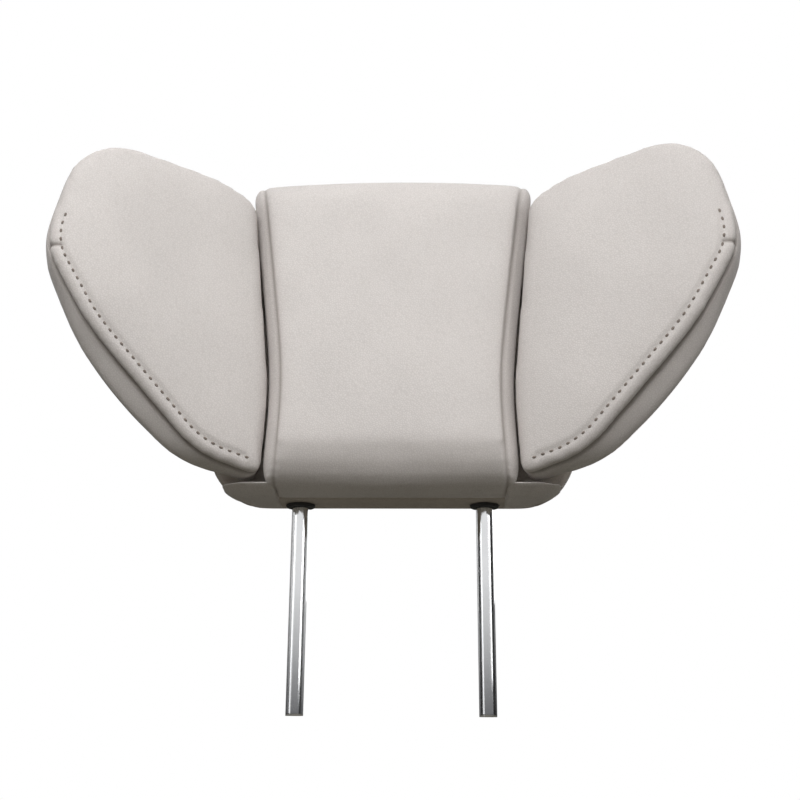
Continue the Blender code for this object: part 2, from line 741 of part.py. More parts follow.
def make_rear(body, hinges):
    cover = rear_surface()
    flat_low = [face for face in cover.faces if face.normal.y < -0.9]
    bmesh.ops.delete(cover, geom=flat_low, context="FACES")
    roll = REAR_DEPTH - REAR_ROLL + 0.01 * MM

    def is_rear(face):
        return face.calc_center_median().y > roll

    def is_under(face):
        return not is_rear(face) and face.normal.z < -0.999

    def is_band(face):
        return not is_rear(face) and not is_under(face)

    thicken(part_from_open("rear_panel", panel(cover, is_rear), LEATHER, body), COVER)
    thicken(part_from_open("rear_band", panel(cover, is_band), LEATHER_SHADE, body), COVER)
    under = part_from_open("underside_panel", panel(cover, is_under), LEATHER_SHADE, body)
    thicken(under, COVER)
    cover.free()

    foam_bm = rear_surface(COVER + SEAT_GAP)
    foam = part("rear_foam", foam_bm, FOAM, body)
    wide = CARRIER_HALF + SEAT_GAP
    pocket_rear = CARRIER_REAR + SCREW_HEAD + 3 * SEAT_GAP
    pocket = box(
        (-wide, -SHOULDER - PAST, CARRIER_LOW - SEAT_GAP),
        (wide, pocket_rear, CARRIER_HIGH + SEAT_GAP),
    )
    boolean(foam, helper("cut_carrier_pocket", pocket, body))
    sleeves = bmesh.new()
    for side in SIDES.values():
        x = side * POST_SPACING / 2
        cylinder(COLLAR_SLEEVE + SEAT_GAP, (x, 0, -PAST), (x, 0, CARRIER_LOW + PAST), 32, sleeves)
    sleeve_cutter = helper("cut_sleeves", sleeves, body)
    boolean(foam, sleeve_cutter)
    boolean(under, sleeve_cutter)

    for side_name, side in SIDES.items():
        hinge = hinges[side_name]
        low, high = HINGE_LOW - EAR_THICK / 2, HINGE_HIGH + EAR_THICK / 2
        around = prism(bracket_outline(-EAR_CLEARANCE), low - EAR_CLEARANCE, high + EAR_CLEARANCE)
        boolean(foam, helper(f"cut_bracket_room_{side_name}", mirrored(around, side), hinge))
        shoulder_bm = prism(rounded(rear_corners()), -SHOULDER, shoulder_back() - SEAT_GAP, "Y")
        keep_side(shoulder_bm, "X", side * (CARRIER_HALF + SEAT_GAP), side < 0)
        shoulder = part(f"shoulder_panel_{side_name}", shoulder_bm, LEATHER_SHADE, body)
        slots = bmesh.new()
        for height in (HINGE_LOW, HINGE_HIGH):
            slot = box(
                (-EYE_RADIUS - EAR_CLEARANCE, 0, height - EAR_THICK / 2 - EAR_CLEARANCE),
                (EYE_RADIUS + EAR_CLEARANCE, BRACKET_BACK, height + EAR_THICK / 2 + EAR_CLEARANCE),
            )
            slots.from_mesh(mesh_of(slot))
        boolean(shoulder, helper(f"cut_shoulder_slots_{side_name}", slots, hinge))


def mesh_of(bm):
    mesh = bpy.data.meshes.new("scrap")
    bm.to_mesh(mesh)
    bm.free()
    return mesh


# Wings


def wing_reach(height):
    """How far the wing's inner edge lies inwards of its hinge, which clears the pad as it turns."""
    return HINGE_OUT - pad_half(height) - WING_GAP


def wing_corners():
    """The wing's outline seen from its front, as (distance outwards from the hinge, height, radius)."""
    return [
        (-wing_reach(WING_TIP_HEIGHT), WING_TIP_HEIGHT, WING_END_CORNER),
        WING_HEEL,
        WING_FLANK,
        WING_ELBOW,
        WING_CROWN,
        WING_SHOULDER,
        (-wing_reach(WING_NOTCH_HEIGHT), WING_NOTCH_HEIGHT, WING_END_CORNER),
        (-wing_reach(PAD_WAIST_HEIGHT), PAD_WAIST_HEIGHT, WING_WAIST_CURVE),
    ]


def wing_swell(point):
    """How far the wall stands out of the wing's outline at a point of it."""
    along = (point.x - SWELL_START) / (SWELL_END - SWELL_START)
    depth = (point.y + WING_AXIS_DEPTH - WING_ROLL) / SWELL_CROWN
    rise, slope = SWELL_TOP
    if depth <= 0 or not 0 < along < 1 or point.z > rise + slope * point.x:
        return 0.0
    depth = min(depth, 1 + SWELL_BACK * (1 - depth))
    return WING_SWELL * math.sin(math.pi * along) ** SWELL_ENDS * depth * depth * (3 - 2 * depth)


def wing_surface(inset=0.0):
    """The wing's outer surface about its hinge axis, moved inwards by inset."""
    front, back = -WING_AXIS_DEPTH + inset, WING_THICK - WING_AXIS_DEPTH - inset
    bm = prism(rounded(wing_corners(), inset), front, back, "Y")
    round_rim(bm, "Y", front, WING_ROLL - inset)
    round_rim(bm, "Y", back, WING_BACK_ROLL - inset)
    for level in range(1, SWELL_LEVELS):
        y = WING_ROLL - WING_AXIS_DEPTH + SWELL_CROWN * level / SWELL_LEVELS
        everything = bm.verts[:] + bm.edges[:] + bm.faces[:]
        bmesh.ops.bisect_plane(bm, geom=everything, plane_co=(0, y, 0), plane_no=AXES["Y"])
    fuller = 1 - inset / SWELL_CROWN
    for vert in bm.verts:
        vert.co += SWELL_AWAY * wing_swell(vert.co) * fuller
    return bm


def swept_ear(height):
    """The room that a bracket ear needs in the wing as the wing turns."""
    half = EYE_RADIUS + EAR_CLEARANCE
    reach = WING_THICK + PAST
    turn = WING_FORWARD_LIMIT
    across = Vector((math.cos(turn), math.sin(turn)))
    toward = Vector((-math.sin(turn), math.cos(turn)))
    corners = [
        (half, -half / math.tan(turn / 2), half),
        (half, reach, 0),
        (0, reach, 0),
        (reach * toward.x, reach * toward.y, 0),
        (reach * toward.x - half * across.x, reach * toward.y - half * across.y, 0),
    ]
    low, high = height - EAR_THICK / 2 - EAR_CLEARANCE, height + EAR_THICK / 2 + EAR_CLEARANCE
    return prism(rounded(corners), low, high)


def leaf_span():
    """The heights of the hinge leaf's ends."""
    return ear_levels(HINGE_LOW)[1], ear_levels(HINGE_HIGH)[1] + EAR_THICK


def make_leaf(side_name, side, wing):
    back = BOARD_DEPTH - WING_AXIS_DEPTH - SEAT_GAP
    low, high = leaf_span()
    base = box((LEAF_START, back - LEAF_THICK, low), (LEAF_END, back, high))
    leaf = part(f"hinge_leaf_{side_name}", mirrored(base, side), STEEL, wing, smooth=False)
    ear = [
        (-EYE_RADIUS, -EYE_RADIUS, EYE_RADIUS),
        (EYE_RADIUS, -EYE_RADIUS, EYE_RADIUS),
        (LEAF_START + EYE_RADIUS, back - LEAF_THICK / 2, 0),
        (LEAF_START + EYE_RADIUS, back - LEAF_THICK / 4, 0),
        (-EYE_RADIUS, back - LEAF_THICK / 4, EYE_RADIUS),
    ]
    for index, height in enumerate((HINGE_LOW, HINGE_HIGH)):
        flange, level = ear_levels(height)
        ear_bm = prism(rounded(ear), level, level + EAR_THICK)
        boolean(leaf, helper(f"join_ear_{side_name}_{index}", mirrored(ear_bm, side), wing), "UNION")
        profile = [
            (BUSH_RADIUS, level + EAR_THICK),
            (BUSH_RADIUS, flange + BUSH_FLANGE),
            (BUSH_FLANGE_RADIUS, flange + BUSH_FLANGE),
            (BUSH_FLANGE_RADIUS, flange),
            (ROD_RADIUS + SEAT_GAP, flange),
            (ROD_RADIUS + SEAT_GAP, level + EAR_THICK),
        ]
        place_name = ("lower", "upper")[index]
        turned(f"{place_name}_bush_{side_name}", profile, BRASS, wing, closed=True)
    bore = cylinder(BUSH_RADIUS + SEAT_GAP, (0, 0, low - PAST), (0, 0, high + PAST))
    boolean(leaf, helper(f"cut_leaf_bore_{side_name}", bore, wing))
    return leaf


def make_wing(side_name, side, wing):
    prefix = f"wing_{side_name}"
    cover = wing_surface()
    front_end = -WING_AXIS_DEPTH + WING_ROLL + 0.01 * MM
    back_start = WING_THICK - WING_AXIS_DEPTH - WING_BACK_ROLL - 0.01 * MM

    def is_front(face):
        return face.calc_center_median().y < front_end

    def is_back(face):
        return face.calc_center_median().y > back_start

    def is_between(face):
        return not is_front(face) and not is_back(face)

    front = mirrored(panel(cover, is_front), side)
    gusset = mirrored(panel(cover, is_between), side)
    back = mirrored(panel(cover, is_back), side)
    cover.free()
    thicken(part_from_open(f"{prefix}_front_panel", front, LEATHER, wing), COVER)
    gusset_part = part_from_open(f"{prefix}_gusset", gusset, LEATHER_SHADE, wing)
    back_part = part_from_open(f"{prefix}_back_panel", back, LEATHER_SHADE, wing)
    thicken(gusset_part, COVER)
    thicken(back_part, COVER)

    board_front = BOARD_DEPTH - WING_AXIS_DEPTH
    board_back = board_front + BOARD_THICK
    foam_bm = wing_surface(COVER + SEAT_GAP)
    keep_side(foam_bm, "Y", board_front - SEAT_GAP, True)
    front_foam = part(f"{prefix}_front_foam", mirrored(foam_bm, side), FOAM, wing)
    board_bm = wing_surface(COVER + SEAT_GAP)
    keep_side(board_bm, "Y", board_front, False)
    keep_side(board_bm, "Y", board_back, True)
    board = part(f"{prefix}_board", mirrored(board_bm, side), BOARD, wing)
    back_bm = wing_surface(COVER + SEAT_GAP)
    keep_side(back_bm, "Y", board_back + SEAT_GAP, False)
    back_foam = part(f"{prefix}_back_foam", mirrored(back_bm, side), FOAM, wing)

    leaf = make_leaf(side_name, side, wing)
    for index, height in enumerate((HINGE_LOW, HINGE_HIGH)):
        room = helper(f"cut_ear_room_{side_name}_{index}", mirrored(swept_ear(height), side), wing)
        for obj in (front_foam, board, back_foam, gusset_part, back_part):
            boolean(obj, room)

    low, high = leaf_span()
    under = HINGE_LOW - EAR_THICK / 2 - ROD_HEAD - 3 * SEAT_GAP
    over = stack_top()[2] + 2 * SEAT_GAP
    half = EYE_RADIUS + 2 * SEAT_GAP
    well = box((-half, -half, under), (LEAF_START + EYE_RADIUS + SEAT_GAP, board_front + PAST, over))
    round_rim_upright(well, half - SEAT_GAP)
    keep_side(well, "Y", board_front - SEAT_GAP / 2, True)
    boolean(front_foam, helper(f"cut_hinge_well_{side_name}", mirrored(well, side), wing))
    leaf_front = board_front - SEAT_GAP - LEAF_THICK
    screw_x = (LEAF_START + LEAF_END) / 2 + EYE_RADIUS / 2
    tray = box(
        (LEAF_START - SEAT_GAP, leaf_front - SCREW_HEAD - 3 * SEAT_GAP, low - SEAT_GAP),
        (LEAF_END + SEAT_GAP, board_front - SEAT_GAP / 2, high + SEAT_GAP),
    )
    boolean(front_foam, helper(f"cut_leaf_tray_{side_name}", mirrored(tray, side), wing))
    bores = bmesh.new()
    length = LEAF_THICK + BOARD_THICK
    for index, height in enumerate(bracket_screw_heights()):
        x = side * screw_x
        start, end = (x, leaf_front - PAST, height), (x, board_back + PAST, height)
        cylinder(SCREW_RADIUS + SEAT_GAP, start, end, 16, bores)
        seat_at = (x, leaf_front - SEAT_GAP, height)
        screw_piece(f"{prefix}_leaf_screw_{index + 1}", length, STEEL, wing, seat_at, (0, 1, 0))
    bore_cutter = helper(f"cut_leaf_screws_{side_name}", bores, wing)
    boolean(leaf, bore_cutter)
    boolean(board, bore_cutter)


def round_rim_upright(bm, radius):
    """Rounds the two upright edges nearest the wing's front."""
    front = min(vert.co.y for vert in bm.verts)
    edges = [
        edge
        for edge in bm.edges
        if abs(edge.verts[0].co.z - edge.verts[1].co.z) > MM
        and all(abs(vert.co.y - front) < 0.01 * MM for vert in edge.verts)
    ]
    bmesh.ops.bevel(bm, geom=edges, offset=radius, segments=4, profile=0.5, affect="EDGES")


# The y of the screws that hold a bracket to the carrier's front half
BRACKET_SCREW_Y = (-HINGE_FORWARD + BRACKET_SHOULDER - SEAT_GAP) / 2

clear_scene()
parts = collection("heated_headrest")
helpers = collection("cutters", helper=True)

body = empty("body", (0, 0, UNDERSIDE))
hinges = {}
for side_name, side in SIDES.items():
    hinge_at = (side * HINGE_OUT, -HINGE_FORWARD, UNDERSIDE)
    hinges[side_name] = empty(f"hinge_{side_name}", hinge_at)

make_stay(body)
make_carrier(body)
make_pad(body)
make_rear(body, hinges)
for side_name, side in SIDES.items():
    make_collar(f"post_collar_{side_name}", side, body)
    make_bracket(f"hinge_bracket_{side_name}", side, hinges[side_name])
    make_rod(side_name, hinges[side_name])
    wing_pivot = empty(f"wing_{side_name}", hinges[side_name].location, -side * WING_FOLD)
    make_wing(side_name, side, wing_pivot)
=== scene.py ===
"""The looks of a car head restraint: padded leather covers, stitching, a chromed stay and a studio.

Metres, +Z up, the front faces -Y. The origin lies midway between the lower ends of the posts.
"""

import logging
import math
from collections.abc import Callable, Iterable, Iterator
from contextlib import contextmanager
from dataclasses import dataclass
from enum import Enum
from functools import partial

import bmesh
import bpy
import numpy as np
from mathutils import Matrix, Vector
from mathutils.bvhtree import BVHTree


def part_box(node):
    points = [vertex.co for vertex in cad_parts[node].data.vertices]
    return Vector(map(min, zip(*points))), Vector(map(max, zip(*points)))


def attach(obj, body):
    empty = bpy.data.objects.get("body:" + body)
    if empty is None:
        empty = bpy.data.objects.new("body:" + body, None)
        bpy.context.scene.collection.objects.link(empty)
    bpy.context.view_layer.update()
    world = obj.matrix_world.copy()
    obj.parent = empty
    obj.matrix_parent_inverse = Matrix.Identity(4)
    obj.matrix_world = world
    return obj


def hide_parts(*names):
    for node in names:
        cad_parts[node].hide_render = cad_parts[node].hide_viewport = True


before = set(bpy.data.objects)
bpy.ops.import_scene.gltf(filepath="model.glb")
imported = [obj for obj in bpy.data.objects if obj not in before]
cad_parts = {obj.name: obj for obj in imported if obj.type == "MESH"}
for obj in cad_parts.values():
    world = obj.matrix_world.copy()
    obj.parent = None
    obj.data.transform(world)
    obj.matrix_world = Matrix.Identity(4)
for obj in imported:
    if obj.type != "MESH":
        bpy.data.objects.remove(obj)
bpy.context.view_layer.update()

MM = 0.001
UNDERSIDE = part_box("underside_panel")[0].z
SEAM_SHADE_ATTRIBUTE = "crease"

MERGE = 0.01 * MM
OUTLINE_MERGE = 0.3 * MM
NEAR = 0.1 * MM
NO_LENGTH = 1e-9
NO_SQUARE = 1e-14
RIM_PIECES = 5
ARC_STEP = math.radians(4)
NOISE_SPAN = (0.3, 0.7)
# The depth, or the darkness of the painted seam shade, and the width of a seam's parts
GROOVE = (1.5 * MM, 1.5 * MM)
VALLEY = (0.7 * MM, 5 * MM)
SEAM_PAINTED_SHADE = (0.85, 1.3 * MM)

Object, Material, Socket = bpy.types.Object, bpy.types.Material, bpy.types.NodeSocket
Pair, Triple = tuple[float, float], tuple[float, float, float]
EdgeTest = Callable[[Vector, Vector], bool]

log = logging.getLogger("head_restraint")


# Mesh work that all the pieces share


def deselect_all() -> None:
    """Leaves object mode with nothing selected."""
    if bpy.context.object and bpy.context.object.mode != "OBJECT":
        bpy.ops.object.mode_set(mode="OBJECT")
    bpy.ops.object.select_all(action="DESELECT")


def make_active(obj: Object) -> None:
    """Selects one object alone and makes it the active one."""
    deselect_all()
    obj.select_set(True)
    bpy.context.view_layer.objects.active = obj


@contextmanager
def editing(obj: Object, action: str | None = "SELECT") -> Iterator[None]:
    """Opens an object's mesh to the mesh operators.

    Args:
        obj: The object, which becomes the active one.
        action: What is done to the selection first, or None to keep it.

    Yields:
        Nothing; object mode is back when the block ends.
    """
    make_active(obj)
    bpy.ops.object.mode_set(mode="EDIT")
    if action:
        bpy.ops.mesh.select_all(action=action)
    yield
    bpy.ops.object.mode_set(mode="OBJECT")


def settle(obj: Object) -> Object:
    """Moves an object's place, turn and scale into its mesh, and gives it back."""
    make_active(obj)
    bpy.ops.object.transform_apply(location=True, rotation=True, scale=True)
    return obj


def apply_modifiers(obj: Object) -> None:
    """Applies every modifier of an object in its order."""
    make_active(obj)
    for modifier in list(obj.modifiers):
        bpy.ops.object.modifier_apply(modifier=modifier.name)


def joined(name: str, objects: Iterable[Object]) -> Object:
    """Joins objects into the first of them, under a new name."""
    objects = list(objects)
    make_active(objects[0])
    for obj in objects:
        obj.select_set(True)
    if len(objects) > 1:
        bpy.ops.object.join()
    made = bpy.context.object
    made.name = made.data.name = name
    return made


def own_copy(obj: Object, name: str) -> Object:
    """A free copy of an object, with its own mesh.

    Args:
        obj: The object that is copied.
        name: The name of the copy.

    Returns:
        The copy, with no parent and no marks of the frame on it.
    """
    made = obj.copy()
    made.data = obj.data.copy()
    made.name = made.data.name = name
    made.parent = None
    made.matrix_world = Matrix.Identity(4)
    for key in [key for key in made.keys() if key.startswith("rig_")]:
        del made[key]
    made.hide_render = made.hide_viewport = False
    bpy.context.scene.collection.objects.link(made)
    return made


def outward(obj: Object) -> None:
    """Merges doubled points and turns all faces of a closed mesh outwards."""
    with editing(obj):
        bpy.ops.mesh.remove_doubles(threshold=MERGE)
        bpy.ops.mesh.normals_make_consistent(inside=False)


def select_edges(obj: Object, chosen: EdgeTest) -> None:
    """Selects the edges whose two ends pass a test, and nothing else.

    Args:
        obj: The object, which becomes the active one.
        chosen: A test on an edge's two ends.
    """
    with editing(obj, "DESELECT"):
        bpy.ops.mesh.select_mode(type="EDGE")
    points = obj.data.vertices
    for edge in obj.data.edges:
        edge.select = chosen(*(points[index].co for index in edge.vertices))


def roll_edges(obj: Object, chosen: EdgeTest, radius: float, pieces: int) -> None:
    """Rounds the edges of a mesh that a test chooses.

    Args:
        obj: The object.
        chosen: A test on an edge's two ends.
        radius: The roll's radius.
        pieces: How many flat strips make the roll.
    """
    select_edges(obj, chosen)
    with editing(obj, None):
        bpy.ops.mesh.bevel(offset=radius, segments=pieces, profile=0.5, clamp_overlap=False)


def hull_of(name: str, nodes: Iterable[str]) -> Object:
    """The convex hull of some CAD nodes, as a closed object in the row frame."""
    hull = joined(name, [own_copy(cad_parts[node], f"{name}_{node}") for node in nodes])
    hull.data.materials.clear()
    with editing(hull):
        bpy.ops.mesh.remove_doubles(threshold=MERGE)
        bpy.ops.mesh.convex_hull()
    return hull


def at_level(level: float, start: Vector, end: Vector) -> bool:
    """Whether both ends of an edge lie at a height."""
    return max(abs(start.z - level), abs(end.z - level)) < NEAR


def slab(name: str, outline: np.ndarray, depth: float, rolls: Pair) -> Object:
    """A flat outline given a thickness and a roll round each of its two rims.

    Args:
        name: The slab's name.
        outline: The outline's points in the XY plane, closed by its first point.
        depth: The thickness, up from z = 0.
        rolls: The radius of the lower and of the upper rim.

    Returns:
        The slab, lying on z = 0.
    """
    deselect_all()
    bpy.ops.mesh.primitive_circle_add(vertices=len(outline) - 1, fill_type="NGON", radius=1)
    made = bpy.context.object
    made.name = made.data.name = name
    move_points(made, np.column_stack([outline[:-1], np.zeros(len(outline) - 1)]))
    with editing(made):
        bpy.ops.mesh.remove_doubles(threshold=OUTLINE_MERGE)
        bpy.ops.mesh.extrude_region_move(TRANSFORM_OT_translate={"value": (0, 0, depth)})
        bpy.ops.mesh.select_all(action="SELECT")
        bpy.ops.mesh.normals_make_consistent(inside=False)
    for level, radius in zip((0.0, depth), rolls):
        roll_edges(made, partial(at_level, level), radius, RIM_PIECES)
    return made


def points_of(obj: Object) -> np.ndarray:
    """The mesh's points as an array of one row each."""
    flat = np.empty(len(obj.data.vertices) * 3, np.float32)
    obj.data.vertices.foreach_get("co", flat)
    return flat.reshape(-1, 3).astype(float)


def normals_of(obj: Object) -> np.ndarray:
    """The outward direction at each point of the mesh."""
    flat = np.empty(len(obj.data.vertices) * 3, np.float32)
    obj.data.vertex_normals.foreach_get("vector", flat)
    return flat.reshape(-1, 3).astype(float)


def move_points(obj: Object, points: np.ndarray) -> None:
    """Puts the mesh's points in new places."""
    obj.data.vertices.foreach_set("co", points.astype(np.float32).ravel())
    obj.data.update()


def fall_off(distance: np.ndarray, width: float) -> np.ndarray:
    """A soft bell over a signed distance, 1 in its middle and near 0 past twice the width."""
    return np.exp(-np.square(distance / width))


def ease(value: np.ndarray, start: float, end: float) -> np.ndarray:
    """Goes smoothly from 0 at start to 1 at end."""
    share = np.clip((value - start) / (end - start), 0, 1)
    return share * share * (3 - 2 * share)


def rounded(corners: list[Triple], inset: float = 0.0) -> np.ndarray:
    """The outline of a polygon whose corners are rounded.

    Args:
        corners: Anticlockwise corners as (x, y, radius).
        inset: How far the outline is moved inwards.

    Returns:
        The outline's points, closed by its first point.
    """
    places = [Vector(corner[:2]) for corner in corners]
    outline = []
    for index, (place, corner) in enumerate(zip(places, corners)):
        before = (place - places[index - 1]).normalized()
        after = (places[(index + 1) % len(places)] - place).normalized()
        turn = math.atan2(before.cross(after), before.dot(after))
        left_before, left_after = before.orthogonal(), after.orthogonal()
        moved = place + (left_before + left_after) * inset / (1 + left_before.dot(left_after))
        radius = max(corner[2] - math.copysign(inset, turn), NEAR)
        start = moved - before * radius * math.tan(abs(turn) / 2)
        centre = start + left_before * math.copysign(radius, turn)
        pieces = max(2, math.ceil(abs(turn) / ARC_STEP))
        for piece in range(pieces + 1):
            spoke = start - centre
            spoke.rotate(Matrix.Rotation(turn * piece / pieces, 2))
            outline.append(centre + spoke)
    outline.append(outline[0])
    return np.array(outline)


def outline_distance(outline: np.ndarray, places: np.ndarray) -> np.ndarray:
    """How far each place in a plane lies from the nearest side of an outline."""
    nearest = np.full(len(places), np.inf)
    for start, end in zip(outline[:-1], outline[1:]):
        side = end - start
        length = float(side @ side)
        if length < NO_SQUARE:
            continue
        share = np.clip((places - start) @ side / length, 0, 1)
        gap = np.hypot(*(places - start - share[:, None] * side).T)
        nearest = np.minimum(nearest, gap)
    return nearest


def even_steps(path: np.ndarray, pitch: float) -> list[tuple[np.ndarray, np.ndarray]]:
    """Places at equal steps along a path, each with the path's direction there."""
    sides = np.diff(path, axis=0)
    lengths = np.hypot(*sides.T)
    run = np.concatenate([[0], np.cumsum(lengths)])
    found = []
    for step in np.arange(pitch / 2, run[-1], pitch):
        index = min(int(np.searchsorted(run, step, "right")) - 1, len(lengths) - 1)
        length = max(lengths[index], NO_LENGTH)
        share = (step - run[index]) / length
        found.append((path[index] + sides[index] * share, sides[index] / length))
    return found


# Finishes


class Bench:
    """Builds one node material step by step."""

    def __init__(self, name: str) -> None:
        """Starts a material with its shader and its Object coordinates."""
        self.material = bpy.data.materials.new(name)
        self.material.use_nodes = True
        self.tree = self.material.node_tree
        self.shader = self.tree.nodes["Principled BSDF"]
        self.place = self.tree.nodes.new("ShaderNodeTexCoord").outputs["Object"]

    def node(self, kind: str, links: dict[str | int, object], **settings: object) -> bpy.types.Node:
        """Adds a node.

        Args:
            kind: The node's type.
            links: A value or another node's output for each named or numbered input.
            settings: The node's own settings.

        Returns:
            The new node.
        """
        made = self.tree.nodes.new(kind)
        for key, value in settings.items():
            setattr(made, key, value)
        for key, value in links.items():
            if isinstance(value, Socket):
                self.tree.links.new(value, made.inputs[key])
            else:
                made.inputs[key].default_value = value
        return made

    def noise(self, scale: float, detail: float = 3.0, roughness: float = 0.5) -> Socket:
        """A cloudy field over the piece, from 0 to 1."""
        inputs = {"Vector": self.place, "Scale": scale, "Detail": detail, "Roughness": roughness}
        return self.node("ShaderNodeTexNoise", inputs).outputs["Fac"]

    def cells(self, size: float, stray: Socket | None = None) -> Socket:
        """The distance to the edge of small irregular cells.

        Args:
            size: The width of a cell.
            stray: A field that bends the cells a little.

        Returns:
            The distance as a share of a cell.
        """
        place = self.place
        if stray is not None:
            reach = {0: stray, 1: (size, size, size)}
            pushed = self.node("ShaderNodeVectorMath", reach, operation="MULTIPLY")
            place = self.node("ShaderNodeVectorMath", {0: place, 1: pushed.outputs[0]}).outputs[0]
        inputs = {"Vector": place, "Scale": 1 / size}
        made = self.node("ShaderNodeTexVoronoi", inputs, feature="DISTANCE_TO_EDGE")
        return made.outputs["Distance"]

    def spread(self, source: Socket, old: Pair, new: Pair) -> Socket:
        """Maps a field from one range to another, held at both ends."""
        inputs = dict(zip(("From Min", "From Max", "To Min", "To Max"), (*old, *new)))
        inputs["Value"] = source
        made = self.node("ShaderNodeMapRange", inputs, interpolation_type="SMOOTHSTEP")
        return made.outputs["Result"]

    def mixed(self, share: Socket, first: object, second: object) -> Socket:
        """A colour between two colours or colour outputs."""
        made = self.tree.nodes.new("ShaderNodeMix")
        made.data_type = "RGBA"
        self.tree.links.new(share, made.inputs["Factor"])
        for socket, value in ((made.inputs[6], first), (made.inputs[7], second)):
            if isinstance(value, Socket):
                self.tree.links.new(value, socket)
            else:
                socket.default_value = (*value, 1.0)
        return made.outputs[2]

    def sum(self, first: Socket, second: Socket | float, operation: str = "ADD") -> Socket:
        """Combines two fields by addition or another operation."""
        return self.node("ShaderNodeMath", {0: first, 1: second}, operation=operation).outputs[0]

    def bump(self, height: Socket, depth: float, below: Socket | None = None) -> Socket:
        """A bump of a field that spans the given depth.

        Args:
            height: The field, from 0 to 1.
            depth: The height of the field's full span in metres.
            below: The normal of a coarser bump that this one lies on.

        Returns:
            The bumped normal.
        """
        inputs = {"Height": height, "Distance": depth, "Strength": 1.0}
        if below is not None:
            inputs["Normal"] = below
        return self.node("ShaderNodeBump", inputs).outputs["Normal"]

    def show(self, output: Socket) -> None:
        """Shows an output as the surface, in place of the shader."""
        surface = self.tree.nodes["Material Output"].inputs["Surface"]
        self.tree.links.new(output, surface)

    def finish(self, **inputs: object) -> Material:
        """Sets the shader's inputs, whose names have _ for a space.

        Args:
            inputs: A plain value or an output for each input.

        Returns:
            The finished material.
        """
        for key, value in inputs.items():
            socket = self.shader.inputs[key.replace("_", " ")]
            if isinstance(value, Socket):
                self.tree.links.new(value, socket)
            elif isinstance(value, tuple) and len(value) == 3:
                socket.default_value = (*value, 1.0)
            else:
                socket.default_value = value
        return self.material


@dataclass(frozen=True)
class LeatherFinish:
    """Soft grained leather, darker and duller in the valleys of its grain, with painted shade along its
    seams.
    """

    name: str
    color: Triple
    # The dark tone of the grain's valleys, also used as the painted shade along the seams.
    grain_and_seam_shade_tone: Triple
    roughness: float = 0.5
    cell: float = 1.5 * MM
    grain: float = 0.05 * MM
    wave: float = 0.35 * MM
    cloud_scale: float = 14
    fine_scale: float = 260
    wave_scale: float = 55
    worn: float = 1.06
    valley_tone: float = 0.16
    valley_rough: float = 0.08
    gloss: float = 0.35

    def build(self) -> Material:
        """Makes the material."""
        bench = Bench(self.name)
        cloud = bench.noise(self.cloud_scale, 3)
        fine = bench.noise(self.fine_scale, 2)
        worn = tuple(min(1.0, channel * self.worn) for channel in self.color)
        tone = bench.mixed(bench.spread(cloud, (0.35, 0.65), (0, 1)), self.color, worn)
        cells = bench.cells(self.cell, bench.noise(1 / (3 * self.cell), 2))
        valley = bench.spread(cells, (0.0, 0.22), (1, 0))
        tone = bench.mixed(bench.sum(valley, self.valley_tone, "MULTIPLY"), tone, self.grain_and_seam_shade_tone)
        # Painted shade along the seams: each point's stored seam shade mixes the tone towards the dark
        # tone.
        crease = bench.node("ShaderNodeAttribute", {}, attribute_name=SEAM_SHADE_ATTRIBUTE).outputs["Fac"]
        tone = bench.mixed(crease, tone, self.grain_and_seam_shade_tone)
        dull = bench.sum(valley, self.valley_rough, "MULTIPLY")
        rough = bench.sum(bench.spread(fine, NOISE_SPAN, (-0.05, 0.05)), dull)
        rough = bench.sum(rough, self.roughness)
        coarse = bench.bump(bench.noise(self.wave_scale, 2), self.wave)
        normal = bench.bump(bench.spread(cells, (0.0, 0.3), (0, 1)), self.grain, coarse)
        normal = bench.bump(fine, self.grain, normal)
        return bench.finish(
            Base_Color=tone, Roughness=rough, Normal=normal, Specular_IOR_Level=self.gloss
        )


@dataclass(frozen=True)
class MetalFinish:
    """Metal with faint smudges and a little unevenness."""

    name: str
    color: Triple
    dull: Triple
    roughness: Pair
    grain: float
    rounding: float = 0.4 * MM
    cloud_scale: float = 35
    smudge_scale: float = 90
    grain_scale: float = 900

    def build(self) -> Material:
        """Makes the material."""
        bench = Bench(self.name)
        cloud = bench.noise(self.cloud_scale, 4, 0.6)
        tone = bench.mixed(bench.spread(cloud, (0.4, 0.75), (0, 1)), self.color, self.dull)
        rough = bench.spread(bench.noise(self.smudge_scale, 3), NOISE_SPAN, self.roughness)
        rounded_edges = bench.node("ShaderNodeBevel", {"Radius": self.rounding}, samples=8)
        normal = bench.bump(bench.noise(self.grain_scale, 2), self.grain, rounded_edges.outputs[0])
        return bench.finish(Base_Color=tone, Roughness=rough, Normal=normal, Metallic=1.0)


@dataclass(frozen=True)
class PlainFinish:
    """Moulded, foamed, pressed or woven stuff: a speckled colour over a fine bump."""

    name: str
    color: Triple
    speck: Triple
    roughness: float
    cell: float
    grain: float
    clouds_per_cell: float = 0.6

    def build(self) -> Material:
        """Makes the material."""
        bench = Bench(self.name)
        cloud = bench.noise(self.clouds_per_cell / self.cell, 3)
        cells = bench.cells(self.cell)
        tone = bench.mixed(bench.spread(cloud, (0.4, 0.7), (0, 1)), self.color, self.speck)
        rough = bench.sum(bench.spread(cloud, NOISE_SPAN, (-0.06, 0.06)), self.roughness)
        normal = bench.bump(bench.spread(cells, (0.0, 0.35), (0, 1)), self.grain)
        return bench.finish(Base_Color=tone, Roughness=rough, Normal=normal)


